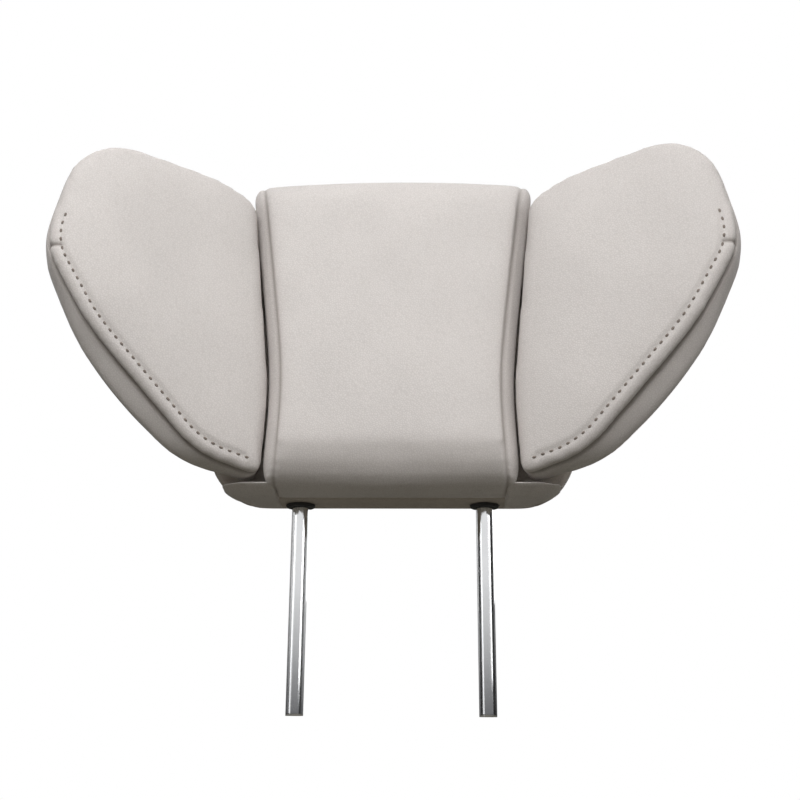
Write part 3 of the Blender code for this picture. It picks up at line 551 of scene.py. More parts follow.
class Finish(Enum):
    """The finishes of the head restraint."""

    LEATHER = LeatherFinish("leather_panel", (0.63, 0.593, 0.572), (0.2, 0.17, 0.15))
    # Darker than the panel leather: a slightly different leather, darkened further with painted shade that
    # stands in for the shade under and behind the head restraint.
    LEATHER_WITH_PAINTED_SHADE = LeatherFinish("leather_gusset", (0.47, 0.42, 0.375), (0.2, 0.165, 0.135))
    # Thread far darker than the real thread, which matches the leather: painted shade of the needle holes
    # where the thread dips in.
    THREAD = PlainFinish("thread", (0.2, 0.165, 0.14), (0.3, 0.26, 0.22), 0.7, 0.3 * MM, 0.05 * MM)
    CHROME = MetalFinish(
        "chrome", (0.9, 0.91, 0.92), (0.84, 0.85, 0.86), (0.03, 0.09), 0.001 * MM, rounding=2.4 * MM
    )
    STEEL = MetalFinish("zinc_steel", (0.52, 0.53, 0.55), (0.4, 0.41, 0.42), (0.26, 0.42), 0.01 * MM)
    BRASS = MetalFinish("brass", (0.75, 0.58, 0.28), (0.6, 0.45, 0.2), (0.22, 0.36), 0.01 * MM)
    MOULDING = PlainFinish("moulding", (0.02, 0.02, 0.021), (0.03, 0.029, 0.03), 0.65, 0.5 * MM, 0.03 * MM)
    BOARD = PlainFinish("pressed_board", (0.13, 0.12, 0.11), (0.18, 0.16, 0.14), 0.7, 1.2 * MM, 0.06 * MM)
    FOAM = PlainFinish("foam", (0.74, 0.69, 0.5), (0.68, 0.62, 0.42), 0.9, 1.0 * MM, 0.25 * MM)
    HEATER = PlainFinish("heater_cloth", (0.5, 0.14, 0.07), (0.4, 0.1, 0.05), 0.75, 0.8 * MM, 0.1 * MM)


class FinishShelf:
    """Makes each finish once and hands it out."""

    def __init__(self) -> None:
        """Starts with no material made."""
        self.made: dict[Finish, Material] = {}

    def material(self, finish: Finish) -> Material:
        """The material of a finish."""
        if finish not in self.made:
            self.made[finish] = finish.value.build()
        return self.made[finish]

    def dress(self, obj: Object, finish: Finish) -> None:
        """Gives a whole piece one finish."""
        obj.data.materials.clear()
        obj.data.materials.append(self.material(finish))


# Padded leather


@dataclass
class Padding:
    """How a leather cover is remeshed, blown up a little and made fine enough to sew."""

    voxel: float = 4.5 * MM
    shrink: float = 0.3 * MM
    pressure: float = 4.0
    reach: float = 3.0 * MM
    frames: int = 20
    evening: int = 12
    levels: int = 2
    quick_share: float = 0.6
    smoothing: tuple[float, int] = (0.5, 4)
    quality: int = 6
    mass: float = 0.3
    stretch: float = 15
    shear: float = 10
    bend: float = 2

    def remesh(self, obj: Object) -> None:
        """Gives a closed blank an even mesh, a little inside its first surface."""
        modifier = obj.modifiers.new("even mesh", "REMESH")
        modifier.mode = "VOXEL"
        modifier.voxel_size = self.voxel
        smooth = obj.modifiers.new("even out", "SMOOTH")
        smooth.factor, smooth.iterations = self.smoothing
        apply_modifiers(obj)
        outward(obj)
        move_points(obj, points_of(obj) - normals_of(obj) * self.shrink)

    def inflate(self, obj: Object) -> None:
        """Blows the cover up as cloth, and caps how far each point swells out."""
        rest, normals = points_of(obj), normals_of(obj)
        cloth = obj.modifiers.new("filled", "CLOTH")
        settings = cloth.settings
        settings.quality = self.quality
        settings.mass = self.mass
        settings.tension_stiffness = settings.compression_stiffness = self.stretch
        settings.shear_stiffness = self.shear
        settings.bending_stiffness = self.bend
        settings.use_pressure = True
        settings.uniform_pressure_force = self.pressure
        settings.effector_weights.gravity = 0
        cloth.collision_settings.use_collision = False
        scene = bpy.context.scene
        scene.frame_start, scene.frame_end = 1, self.frames
        for frame_number in range(1, self.frames + 1):
            scene.frame_set(frame_number)
        apply_modifiers(obj)
        scene.frame_set(1)
        swell = np.sum((points_of(obj) - rest) * normals, axis=1)
        swell = self.reach * np.tanh(np.maximum(swell, 0) / self.reach)
        move_points(obj, rest + normals * self.evened(obj, swell)[:, None])

    def evened(self, obj: Object, values: np.ndarray) -> np.ndarray:
        """Averages the points' values over their neighbours in the mesh, several times."""
        flat = np.empty(len(obj.data.edges) * 2, np.int32)
        obj.data.edges.foreach_get("vertices", flat)
        first, second = flat.reshape(-1, 2).T
        count = np.bincount(flat, minlength=len(values))
        for _ in range(self.evening):
            total = np.bincount(first, values[second], len(values))
            total += np.bincount(second, values[first], len(values))
            values = (values + total / count) / 2
        return values

    def refine(self, obj: Object) -> None:
        """Subdivides the cover into a fine smooth mesh."""
        modifier = obj.modifiers.new("fine", "SUBSURF")
        modifier.levels = modifier.render_levels = self.levels
        apply_modifiers(obj)
        obj.data.shade_smooth()

    def swell(self, obj: Object) -> None:
        self.inflate(obj)
        self.refine(obj)


def sew(obj: Object, depth: np.ndarray, crease: np.ndarray) -> None:
    """Pulls the leather in along its seams, and stores the painted shade that darkens them.

    Args:
        obj: The fine cover.
        depth: How far each point moves inwards.
        crease: How much painted seam shade each point gets, from 0 to 1.
    """
    move_points(obj, points_of(obj) - normals_of(obj) * depth[:, None])
    attribute = obj.data.attributes.new(SEAM_SHADE_ATTRIBUTE, "FLOAT", "POINT")
    attribute.data.foreach_set("value", np.clip(crease, 0, 1).astype(np.float32))


def seam_depth(distance: np.ndarray) -> np.ndarray:
    """The depth of a turned seam across its line: a sharp groove in a soft valley."""
    return GROOVE[0] * fall_off(distance, GROOVE[1]) + VALLEY[0] * fall_off(distance, VALLEY[1])


def seam_shade(distance: np.ndarray) -> np.ndarray:
    """The painted shade of a turned seam across its line."""
    return SEAM_PAINTED_SHADE[0] * fall_off(distance, SEAM_PAINTED_SHADE[1])


@dataclass
class Stitching:
    """A row of machine stitches on a sewn cover."""

    pitch: float = 6.0 * MM
    length: float = 4.2 * MM
    radius: float = 1.0 * MM
    sink: float = 0.2 * MM

    def one(self) -> Object:
        """The thread of one stitch: a capsule along X that dips at its ends."""
        deselect_all()
        bpy.ops.mesh.primitive_uv_sphere_add(segments=8, ring_count=6, radius=self.radius)
        stitch = bpy.context.object
        points = points_of(stitch)[:, [2, 1, 0]]
        points[:, 0] *= self.length / 2 / self.radius
        points[:, 2] -= self.radius * np.square(points[:, 0] / (self.length / 2))
        move_points(stitch, points)
        outward(stitch)
        stitch.data.shade_smooth()
        return stitch

    def row(self, name: str, places: list[tuple[Vector, Vector, Vector]]) -> Object:
        """A row of stitches as one piece.

        Args:
            name: The piece's name.
            places: The place, direction and outward normal of each stitch.

        Returns:
            The row.
        """
        stitch = self.one()
        copies = []
        for place, along, normal in places:
            along = (along - normal * along.dot(normal)).normalized()
            turn = Matrix((along, normal.cross(along), normal)).transposed().to_4x4()
            copy = own_copy(stitch, name)
            copy.data.transform(Matrix.Translation(place - normal * self.sink) @ turn)
            copies.append(copy)
        bpy.data.objects.remove(stitch)
        return joined(name, copies)


def surface_tree(obj: Object) -> BVHTree:
    """A search tree over an object's faces."""
    bm = bmesh.new()
    bm.from_mesh(obj.data)
    tree = BVHTree.FromBMesh(bm)
    bm.free()
    return tree


# Sub-assemblies


class Side(Enum):
    """The two sides, by the sign of X there."""

    LEFT = -1
    RIGHT = 1

    @property
    def word(self) -> str:
        """The side's name in the frame."""
        return self.name.lower()

    def copy_of(self, source: Object, name: str, place: Matrix) -> Object:
        """A copy of a right-hand piece for this side.

        Args:
            source: The right-hand piece.
            name: The copy's name.
            place: Where it goes, which mirrors it on the left.

        Returns:
            The copy, with its faces turned outwards.
        """
        made = own_copy(source, name)
        made.data.transform(place)
        if self is Side.LEFT:
            made.data.flip_normals()
        return made


@dataclass
class WaistedPad:
    """The centre pad, narrow at its waist, with a chin roll, a brow roll and side seams."""

    shelf: FinishShelf
    half_top: float = 105 * MM
    half_waist: float = 85 * MM
    half_bottom: float = 89.5 * MM
    waist: float = 76 * MM
    waist_soft: float = 25 * MM
    height: float = 226 * MM
    front_bottom: float = 68 * MM
    front_top: float = 60 * MM
    rear: float = 20.6 * MM
    chin_roll: float = 32 * MM
    brow_roll: float = 20 * MM
    edge: float = 9 * MM
    edge_roll: float = 5 * MM
    side_lean: float = 8 * MM
    side_depth: float = 17 * MM
    side_tuck: float = 3 * MM
    tuck_span: float = 10 * MM
    arch: float = 4.5 * MM
    arch_span: float = 60 * MM
    front_fade: float = 2 * MM
    seam_fade: Pair = (2 * MM, 8 * MM)
    seam_share: float = 0.6
    painted_shade_share: float = 0.5
    roll_pieces: int = 6

    def half(self, height: np.ndarray | float) -> np.ndarray | float:
        """Half the pad's width at a height above the underside."""
        rise = height - self.waist
        above = (self.half_top - self.half_waist) / (self.height - self.waist)
        below = (self.half_bottom - self.half_waist) / self.waist
        bend = np.hypot(rise, self.waist_soft) - self.waist_soft
        return self.half_waist + (above - below) / 2 * rise + (above + below) / 2 * bend

    def blank(self) -> Object:
        """A straight block with the pad's rolls, before it is waisted."""
        deselect_all()
        depth = self.front_bottom - self.rear
        centre = (0, -self.rear - depth / 2, self.height / 2)
        bpy.ops.mesh.primitive_cube_add(size=1, location=centre)
        pad = bpy.context.object
        pad.name = pad.data.name = "centre_pad"
        pad.scale = (2 * self.half_waist, depth, self.height)
        settle(pad)
        top, side = self.height - MM, self.half_waist - NEAR
        for radius, test in (
            (self.chin_roll, lambda a, b: max(a.z, b.z) < MM),
            (self.brow_roll, lambda a, b: min(a.z, b.z) > top),
            (self.edge_roll, lambda a, b: a.x * b.x > 0 and min(abs(a.x), abs(b.x)) > side),
        ):
            roll_edges(pad, partial(self.in_front, test), radius, self.roll_pieces)
        return pad

    def in_front(self, test: EdgeTest, start: Vector, end: Vector) -> bool:
        """Whether an edge lies before the pad's rear wall and passes a test."""
        return min(-start.y, -end.y) > self.rear + MM and test(start, end)

    def shape(self, pad: Object) -> None:
        """Waists the block, leans its front and arches its top."""
        points = points_of(pad)
        x, y, z = points.T
        across = x / self.half_waist
        lean = (self.front_top - self.front_bottom) * z / self.height
        front_share = ease(-y, self.rear, self.front_bottom)
        side_end = self.front_bottom - self.front_fade
        side_share = ease(-y, self.front_bottom - self.side_depth, side_end)
        widest = self.side_depth - self.front_bottom
        tucked = self.side_tuck * ease(y, widest, widest + self.tuck_span)
        points[:, 0] = across * (self.half(z) - self.side_lean * side_share - tucked)
        points[:, 1] = y - lean * front_share
        near_top = ease(z, self.height - self.arch_span, self.height)
        points[:, 2] = z + self.arch * (1 - np.square(across)) * near_top
        points[:, 2] += UNDERSIDE
        move_points(pad, points)

    def seams(self, pad: Object) -> None:
        """Sews the side seams, which run up the front edges and over the top, with painted shade along
        them.
        """
        points = points_of(pad)
        height = points[:, 2] - UNDERSIDE
        inside = self.half(np.clip(height, 0, self.height)) - np.abs(points[:, 0])
        start, end = self.seam_fade
        on_front = ease(-points[:, 1], self.rear + start, self.rear + end)
        line = inside - self.edge
        depth = seam_depth(line) * on_front * self.seam_share
        # Painted shade darkens the leather along the side seams.
        sew(pad, depth, seam_shade(line) * on_front * self.painted_shade_share)

    def build(self) -> Object:
        """Makes, fills, sews and dresses the pad."""
        pad = self.blank()
        padding = Padding()
        padding.remesh(pad)
        self.shape(pad)
        outward(pad)
        padding.swell(pad)
        self.seams(pad)
        self.shelf.dress(pad, Finish.LEATHER)
        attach(pad, "body")
        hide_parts("pad_front_panel", "pad_gusset_left", "pad_gusset_right", "pad_foam")
        return pad


@dataclass
class RearBody:
    """The padded body behind the pad, which carries the stay, with its band and its rear panel."""

    shelf: FinishShelf
    rear_seam: float = 19 * MM
    painted_shade_share: float = 0.9

    def build(self) -> Object:
        """Makes, fills, sews and dresses the body."""
        shoulders = (f"shoulder_panel_{side.word}" for side in Side)
        covers = ("rear_panel", "rear_band", "underside_panel", *shoulders)
        body = hull_of("rear_body", covers)
        padding = Padding(voxel=5 * MM, reach=2.5 * MM)
        padding.remesh(body)
        padding.swell(body)
        line = points_of(body)[:, 1] - self.rear_seam
        # Painted shade darkens the leather along the rear seam.
        sew(body, seam_depth(line), seam_shade(line) * self.painted_shade_share)
        # The rear body takes the darker leather, with painted shade for the shade under and behind it.
        self.shelf.dress(body, Finish.LEATHER_WITH_PAINTED_SHADE)
        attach(body, "body")
        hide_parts(*covers, "rear_foam")
        return body


@dataclass
class BaseCorners:
    """The two padded corners of the base, which carry the chin out below the wing tips."""

    shelf: FinishShelf
    height: float = 6.8 * MM
    low: float = -0.4 * MM
    inner: float = 78 * MM
    front: float = -53 * MM
    rear: float = 12 * MM
    undercut: Pair = (12 * MM, 16 * MM)
    slant_start: float = 6 * MM
    slant_end: float = 112 * MM
    rolls: Pair = (1.5 * MM, 4 * MM)

    def corners(self) -> list[Triple]:
        """The right-hand corner's outline seen from above, at its widest."""
        return [
            (self.inner, self.rear, MM),
            (self.inner, self.front, MM),
            (101 * MM, self.front, 10 * MM),
            (118 * MM, -43 * MM, 10 * MM),
            (120 * MM, -18 * MM, 12 * MM),
            (108 * MM, self.rear, 8 * MM),
        ]

    def blank(self) -> Object:
        """The corner with its walls slanting in towards the underside."""
        made = slab("base_corner", rounded(self.corners()), self.height, self.rolls)
        Padding(voxel=1.5 * MM, shrink=0).remesh(made)
        points = points_of(made)
        x, y, z = points.T
        under = 1 - np.clip(z / self.height, 0, 1)
        inward, rearward = self.undercut
        points[:, 0] -= inward * under * ease(x, self.inner + self.slant_start, self.slant_end)
        points[:, 1] += rearward * under * ease(-y, 0, -self.front)
        points[:, 2] += UNDERSIDE + self.low
        move_points(made, points)
        sew(made, np.zeros(len(points)), np.zeros(len(points)))
        return made

    def build(self) -> list[Object]:
        """Makes both corners."""
        made = []
        source = self.blank()
        for side in Side:
            mirror = Matrix.Diagonal((side.value, 1, 1, 1))
            corner = side.copy_of(source, f"base_corner_{side.word}", mirror)
            self.shelf.dress(corner, Finish.LEATHER)
            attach(corner, "body")
            made.append(corner)
        bpy.data.objects.remove(source)
        return made


@dataclass
class Wings:
    """The two padded side wings on their hinges, with a welted lower edge and top-stitching."""

    shelf: FinishShelf
    hinge_out: float = 114 * MM
    hinge_forward: float = 55.5 * MM
    fold: float = math.radians(18)
    front: float = -13 * MM
    front_seam: float = -5 * MM
    back_seam: float = 20 * MM
    stitch_inset: float = 8.3 * MM
    stitch_top: float = 178 * MM
    join_height: float = 156 * MM
    tip_reach: float = 26.5 * MM
    waist_reach: float = 28.2 * MM
    notch_reach: float = 14.4 * MM
    tip_height: float = 8 * MM
    waist_height: float = 76 * MM
    notch_height: float = 207 * MM
    thick: float = 40 * MM
    front_roll: float = 7 * MM
    back_roll: float = 12 * MM
    swell: float = 10.3 * MM
    swell_span: Pair = (-7 * MM, 130 * MM)
    swell_crown: float = 17 * MM
    swell_past: float = 0.4
    swell_power: float = 1.3
    swell_top: Pair = (50 * MM, 0.85)
    swell_fade: Pair = (-2 * MM, 10 * MM)
    swell_near: Pair = (-30 * MM, -3 * MM)
    swell_way: Triple = (0.73, 0, -0.68)
    inner_tuck: float = 3.4 * MM
    tuck_width: float = 15 * MM
    tuck_front: Pair = (-4 * MM, 5 * MM)
    tuck_back: Pair = (-12 * MM, -8 * MM)
    valley: Pair = (0.9 * MM, 2.4 * MM)
    valley_fade: Pair = (7 * MM, 10 * MM)
    join_narrow: float = 1.3
    join_fade: Pair = (2 * MM, 5 * MM)
    join_share: float = 0.7
    welt_more: float = 0.7
    stitch_fade: float = 4 * MM
    stitch_clear: Pair = (9 * MM, 13 * MM)
    probe_front: float = -100 * MM
    ear_heights: Pair = (40 * MM, 120 * MM)
    ear_half: float = 9.7 * MM
    ear_tall: float = 6 * MM
    ear_grain_and_seam_shade_tone: float = 60 * MM
    ear_back: float = 20 * MM
    ear_turns: tuple[int, ...] = (0, 20, 40, 60)

    def corners(self) -> list[Triple]:
        """The outline seen from the front, as distance out from the hinge, height and radius."""
        return [
            (-self.tip_reach, self.tip_height, 3.5 * MM),
            (18 * MM, 21 * MM, 70 * MM),
            (95 * MM, 104 * MM, 150 * MM),
            (128 * MM, 158 * MM, 45 * MM),
            (108 * MM, 245 * MM, 38 * MM),
            (10 * MM, 221.5 * MM, 90 * MM),
            (-self.notch_reach, self.notch_height, 13 * MM),
            (-self.waist_reach, self.waist_height, 200 * MM),
        ]

    def to_row(self, side: Side) -> Matrix:
        """From a wing's own frame, X outwards from its hinge, to the row frame."""
        place = Matrix.Translation((side.value * self.hinge_out, -self.hinge_forward, UNDERSIDE))
        mirror = Matrix.Diagonal((side.value, 1, 1, 1))
        return place @ Matrix.Rotation(-side.value * self.fold, 4, "Z") @ mirror

    def reach(self, height: np.ndarray) -> np.ndarray:
        """How far the wing reaches inwards of its hinge at each height."""
        heights = (self.tip_height, self.waist_height, self.notch_height)
        return np.interp(height, heights, (self.tip_reach, self.waist_reach, self.notch_reach))

    def on_stitched_edge(self, places: np.ndarray) -> np.ndarray:
        """How surely each place belongs to the welted lower and outer edge, from 0 to 1."""
        x, z = places.T
        low = ease(-z, -self.stitch_top - self.stitch_fade, -self.stitch_top + self.stitch_fade)
        outer = ease(x + self.reach(z), *self.stitch_clear)
        return low * outer

    def blank(self) -> Object:
        """The wing's outline given its thickness and its rolls."""
        wing = slab("wing", rounded(self.corners()), self.thick, (self.back_roll, self.front_roll))
        back = self.front + self.thick
        wing.data.transform(Matrix(((1, 0, 0, 0), (0, 0, -1, back), (0, 1, 0, 0), (0, 0, 0, 1))))
        return wing

    def swelling(self, points: np.ndarray) -> np.ndarray:
        """How far the wall along the flank stands out of the outline at each point."""
        x, y, z = points.T
        start, end = self.swell_span
        along = np.clip((x - start) / (end - start), 0, 1)
        depth = (y - self.front_seam) / self.swell_crown
        depth = ease(np.minimum(depth, 1 + self.swell_past * (1 - depth)), 0, 1)
        rise, slope = self.swell_top
        lower = ease(rise + slope * x - z, *self.swell_fade)
        outline = rounded(self.corners())
        near = ease(-outline_distance(outline, points[:, [0, 2]]), *self.swell_near)
        return self.swell * np.sin(np.pi * along) ** self.swell_power * depth * lower * near

    def tucked(self, points: np.ndarray) -> np.ndarray:
        """How far the inner wall is drawn in at each point, to clear the pad at the back stop."""
        x, y, z = points.T
        middle = ease(y, *self.tuck_front) * ease(-y, *self.tuck_back)
        return self.inner_tuck * ease(-x - self.reach(z), -self.tuck_width, 0) * middle

    def cover(self) -> Object:
        """The filled and sewn wing in its own frame."""
        wing = self.blank()
        padding = Padding(shrink=-1.3 * MM)
        padding.remesh(wing)
        points = points_of(wing)
        moved = points + self.swelling(points)[:, None] * np.array(self.swell_way)
        moved[:, 0] += self.tucked(points)
        move_points(wing, moved)
        padding.swell(wing)
        self.seams(wing)
        self.cut_ears(wing)
        return wing

    def seams(self, wing: Object) -> None:
        """Sews the front and back seams, the cross seam and the valley under the stitches, with painted
        shade along the three seams.
        """
        points = points_of(wing)
        y = points[:, 1]
        outline = rounded(self.corners())
        inside = outline_distance(outline, points[:, [0, 2]])
        on_front = ease(-y, *self.valley_fade)
        edge = self.on_stitched_edge(points[:, [0, 2]])
        deepest, width = self.valley
        valley = deepest * fall_off(inside - self.stitch_inset, width) * on_front * edge
        join = (points[:, 2] - self.join_height) * self.join_narrow
        on_join = ease(-inside, -self.stitch_inset - MM, -self.stitch_inset + MM)
        on_join *= ease(-y, *self.join_fade) * edge
        welt = 1 + self.welt_more * edge
        depth = seam_depth(y - self.front_seam) * welt + seam_depth(y - self.back_seam) + valley
        depth += seam_depth(join) * on_join * self.join_share
        # Painted shade along the front, back and cross seams, wider along the welted lower edge.
        shade = seam_shade((y - self.front_seam) / welt) + seam_shade(y - self.back_seam)
        shade += seam_shade(join) * on_join
        sew(wing, depth, shade)

    def stitch_places(self, wing: Object) -> list[tuple[Vector, Vector, Vector]]:
        """Where the top-stitches lie on the filled wing, in the wing's own frame."""
        tree = surface_tree(wing)
        outline = rounded(self.corners(), self.stitch_inset)
        found = []
        for place, along in even_steps(outline, Stitching().pitch):
            if self.on_stitched_edge(place[None])[0] < 0.5:
                continue
            before = Vector((place[0], self.probe_front, place[1]))
            hit, normal, _, _ = tree.ray_cast(before, Vector((0, 1, 0)))
            if hit is not None:
                found.append((hit, Vector((along[0], 0, along[1])), normal))
        return found

    def cut_ears(self, wing: Object) -> None:
        """Cuts the slots in the back for the bracket ears, as wide as the wing's swing needs."""
        for height in self.ear_heights:
            for turn in self.ear_turns:
                deselect_all()
                bpy.ops.mesh.primitive_cube_add(size=1, location=(0, self.ear_back, 0))
                cutter = bpy.context.object
                cutter.scale = (2 * self.ear_half, self.ear_grain_and_seam_shade_tone, self.ear_tall)
                settle(cutter)
                cutter.data.transform(Matrix.Rotation(math.radians(turn), 4, "Z"))
                cutter.data.transform(Matrix.Translation((0, 0, height)))
                modifier = wing.modifiers.new("ear slot", "BOOLEAN")
                modifier.solver = "MANIFOLD"
                modifier.object = cutter
                apply_modifiers(wing)
                bpy.data.objects.remove(cutter)

    def build(self) -> list[Object]:
        """Makes both wings' covers and stitching from one filled cover."""
        cover = self.cover()
        stitches = Stitching().row("wing_stitching", self.stitch_places(cover))
        made = []
        for side in Side:
            for source, name, finish in (
                (cover, f"wing_{side.word}_cover", Finish.LEATHER),
                # The stitches take the dark thread, painted shade of the needle holes.
                (stitches, f"wing_{side.word}_stitching", Finish.THREAD),
            ):
                piece = side.copy_of(source, name, self.to_row(side))
                self.shelf.dress(piece, finish)
                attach(piece, f"wing_{side.word}")
                made.append(piece)
            nodes = ("front_panel", "gusset", "back_panel", "front_foam", "back_foam")
            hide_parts(*(f"wing_{side.word}_{node}" for node in nodes))
        bpy.data.objects.remove(cover)
        bpy.data.objects.remove(stitches)
        return made


@dataclass
class Hardware:
    """The CAD nodes, each in the finish that its name tells."""

    shelf: FinishShelf

    def finish_of(self, node: str) -> Finish:
        """The finish of a CAD node, by the words in its name."""
        for words, finish in (
            (("foam",), Finish.FOAM),
            # Panels, bands and gussets take the darker leather with painted shade.
            (("panel", "band", "gusset"), Finish.LEATHER_WITH_PAINTED_SHADE),
            (("screw", "bracket", "leaf", "rod", "spring"), Finish.STEEL),
            (("stay",), Finish.CHROME),
            (("bush",), Finish.BRASS),
            (("board",), Finish.BOARD),
            (("heater",), Finish.HEATER),
        ):
            if any(word in node for word in words):
                return finish
        return Finish.MOULDING

    def dress(self) -> int:
        """Gives every CAD node its finish, and counts the nodes."""
        for name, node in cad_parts.items():
            self.shelf.dress(node, self.finish_of(name))
            node.data.update()
        return len(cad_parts)


@dataclass(frozen=True)
class Lamp:
    """A soft square lamp: its place, its width and height, and its power in watts."""

    name: str
    place: Triple
    size: Pair
    power: float


@dataclass
class Studio:
    """A pale studio with soft lamps and the camera of the photograph."""

    distance: float = 800 * MM
    azimuth: float = math.radians(1.733)
    elevation: float = math.radians(-18)
    roll: float = math.radians(0.404)
    focal_pixels: float = 1144.776
    middle: Pair = (391.664, 366.882)
    image: float = 800.0
    sensor: float = 36.0
    floor_height: float = -260 * MM
    floor_size: float = 8.0
    floor_tones: tuple[Triple, Triple] = ((0.15, 0.14, 0.115), (0.17, 0.16, 0.13))
    floor_white: float = 0.85
    ambient: float = 0.06
    target: Pair = (-40 * MM, 90 * MM)
    lit_height: float = 110 * MM
    lamps: tuple[Lamp, ...] = (
        Lamp("key", (-0.15, -1.35, 1.1), (1.3, 0.8), 24),
        Lamp("left", (-1.7, -0.9, 0.6), (0.8, 1.2), 3),
        Lamp("right", (1.7, -0.9, 0.7), (0.8, 1.2), 7),
        Lamp("rear", (0.3, 2.0, 0.9), (1.6, 1.2), 12),
        Lamp("top", (0, 0.3, 2.0), (1.8, 1.2), 3),
    )
    wall_radius: float = 3.2
    wall_tall: float = 4.0
    wall_grade: Pair = (-0.05, 0.6)
    wall_tones: tuple[Triple, Triple] = ((0.1, 0.1, 0.105), (0.8, 0.8, 0.8))
    flag_angles: tuple[int, ...] = (84, 112, 160)
    flag_size: Pair = (1.0, 3.0)
    flag_out: float = 2.6
    flag_tones: tuple[Triple, Triple] = ((0.03, 0.03, 0.03), (0.05, 0.05, 0.05))

    def camera(self) -> Object:
        """Places the camera below and in front of the pad."""
        a, e, r = self.azimuth, self.elevation, self.roll
        back = Vector((math.sin(a) * math.cos(e), -math.cos(a) * math.cos(e), math.sin(e)))
        right = Vector((math.cos(a), math.sin(a), 0))
        up = back.cross(right)
        across = right * math.cos(r) + up * math.sin(r)
        upward = up * math.cos(r) - right * math.sin(r)
        forward, above = self.target
        place = Vector((0, forward, UNDERSIDE + above)) + back * self.distance
        data = bpy.data.cameras.new("camera")
        data.sensor_width = self.sensor
        data.lens = self.focal_pixels / self.image * self.sensor
        data.shift_x = (self.image / 2 - self.middle[0]) / self.image
        data.shift_y = (self.middle[1] - self.image / 2) / self.image
        camera = bpy.data.objects.new("camera", data)
        turned = Matrix((across, upward, back)).transposed().to_4x4()
        camera.matrix_world = Matrix.Translation(place) @ turned
        bpy.context.scene.collection.objects.link(camera)
        bpy.context.scene.camera = camera
        return camera

    def hang(self, lamp: Lamp, aim: Vector) -> Object:
        """Hangs a lamp so that it faces a point."""
        data = bpy.data.lights.new(lamp.name, "AREA")
        data.shape = "RECTANGLE"
        data.size, data.size_y = lamp.size
        data.energy = lamp.power
        made = bpy.data.objects.new(lamp.name, data)
        made.location = lamp.place
        made.rotation_mode = "QUATERNION"
        made.rotation_quaternion = (aim - Vector(lamp.place)).to_track_quat("-Z", "Y")
        bpy.context.scene.collection.objects.link(made)
        return made

    def background(self) -> None:
        """Lights the world softly, and shows it white to the camera, in gloss and through glass."""
        world = bpy.data.worlds.new("studio")
        bpy.context.scene.world = world
        world.use_nodes = True
        tree = world.node_tree
        path = tree.nodes.new("ShaderNodeLightPath")
        clear = path.outputs["Is Camera Ray"]
        for ray in ("Is Glossy Ray", "Is Transmission Ray"):
            either = tree.nodes.new("ShaderNodeMath")
            either.operation = "MAXIMUM"
            tree.links.new(clear, either.inputs[0])
            tree.links.new(path.outputs[ray], either.inputs[1])
            clear = either.outputs[0]
        level = tree.nodes.new("ShaderNodeMapRange")
        level.inputs["To Min"].default_value = self.ambient
        level.inputs["To Max"].default_value = 1.0
        tree.links.new(clear, level.inputs["Value"])
        shade = tree.nodes["Background"]
        shade.inputs["Color"].default_value = (1, 1, 1, 1)
        tree.links.new(level.outputs["Result"], shade.inputs["Strength"])

    def floor(self) -> Object:
        """A wide pale floor well below the posts, nearly white to the camera."""
        deselect_all()
        place = (0, 0, self.floor_height)
        bpy.ops.mesh.primitive_plane_add(size=self.floor_size, location=place)
        floor = settle(bpy.context.object)
        floor.name = floor.data.name = "floor"
        bench = Bench("floor")
        tone = bench.mixed(bench.noise(3, 2), *self.floor_tones)
        material = bench.finish(Base_Color=tone, Roughness=0.8)
        path = bench.node("ShaderNodeLightPath", {})
        white = bench.node("ShaderNodeEmission", {})
        share = bench.sum(path.outputs["Is Camera Ray"], self.floor_white, "MULTIPLY")
        sources = {0: share, 1: bench.shader.outputs[0], 2: white.outputs[0]}
        bench.show(bench.node("ShaderNodeMixShader", sources).outputs[0])
        floor.data.materials.append(material)
        return floor

    def gloss_only(self, obj: Object) -> None:
        """Shows a stage piece in gloss alone: neither the camera nor the light meets it."""
        obj.visible_camera = obj.visible_diffuse = obj.visible_shadow = False
        obj.visible_transmission = obj.visible_volume_scatter = False

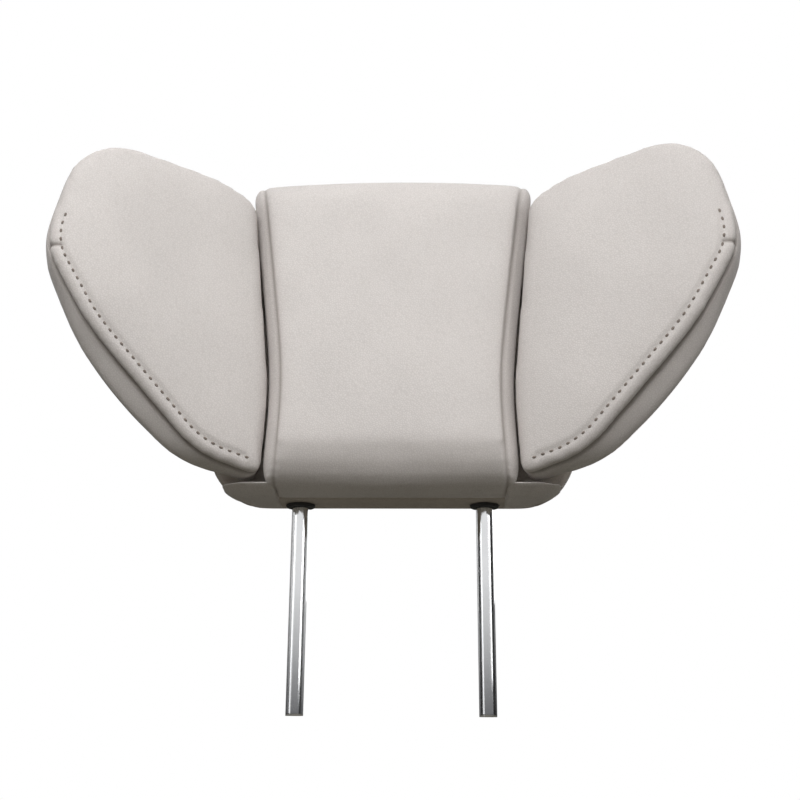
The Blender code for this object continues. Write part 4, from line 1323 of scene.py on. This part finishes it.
    def surround(self) -> Object:
        """A wall round the set, dark below and pale above, for the chrome to show."""
        deselect_all()
        bpy.ops.mesh.primitive_cylinder_add(
            vertices=96, radius=self.wall_radius, depth=self.wall_tall, end_fill_type="NOTHING"
        )
        wall = settle(bpy.context.object)
        wall.name = wall.data.name = "surround"
        bench = Bench("surround")
        height = bench.node("ShaderNodeSeparateXYZ", {0: bench.place}).outputs["Z"]
        tone = bench.mixed(bench.spread(height, self.wall_grade, (0, 1)), *self.wall_tones)
        bench.show(bench.node("ShaderNodeEmission", {"Color": tone}).outputs[0])
        wall.data.materials.append(bench.material)
        self.gloss_only(wall)
        return wall

    def flag(self, side: Side, angle: int) -> Object:
        """A tall black cloth beside the set that only gloss shows.

        Args:
            side: The side that it stands on.
            angle: How many degrees round from the front it stands.

        Returns:
            The flag.
        """
        deselect_all()
        bpy.ops.mesh.primitive_grid_add(x_subdivisions=4, y_subdivisions=8, size=1)
        flag = bpy.context.object
        flag.name = flag.data.name = f"flag_{side.word}_{angle}"
        flag.data.transform(Matrix.Diagonal((*self.flag_size, 1, 1)))
        flag.data.transform(Matrix.Rotation(math.radians(90), 4, "X"))
        flag.data.transform(Matrix.Translation((0, -self.flag_out, 0)))
        flag.data.transform(Matrix.Rotation(side.value * math.radians(angle), 4, "Z"))
        bench = Bench("flag_cloth")
        tone = bench.mixed(bench.noise(40, 2), *self.flag_tones)
        flag.data.materials.append(bench.finish(Base_Color=tone, Roughness=0.9))
        self.gloss_only(flag)
        return flag

    def build(self) -> None:
        """Sets up the camera, the world, the floor, the lamps, the wall and the flags."""
        bpy.context.scene.view_settings.view_transform = "Standard"
        self.camera()
        self.background()
        self.floor()
        for lamp in self.lamps:
            self.hang(lamp, Vector((0, 0, UNDERSIDE + self.lit_height)))
        self.surround()
        for side in Side:
            for angle in self.flag_angles:
                self.flag(side, angle)


def main() -> None:
    """Builds the head restraint and its studio in order."""
    logging.basicConfig(level=logging.INFO, format="%(name)s: %(message)s")
    shelf = FinishShelf()
    Studio().build()
    log.info("%d CAD nodes dressed", Hardware(shelf).dress())
    pieces = [WaistedPad(shelf).build(), RearBody(shelf).build(), *BaseCorners(shelf).build()]
    pieces += Wings(shelf).build()
    for piece in pieces:
        log.info("%s: %d faces", piece.name, len(piece.data.polygons))


if __name__ == "__main__":
    main()
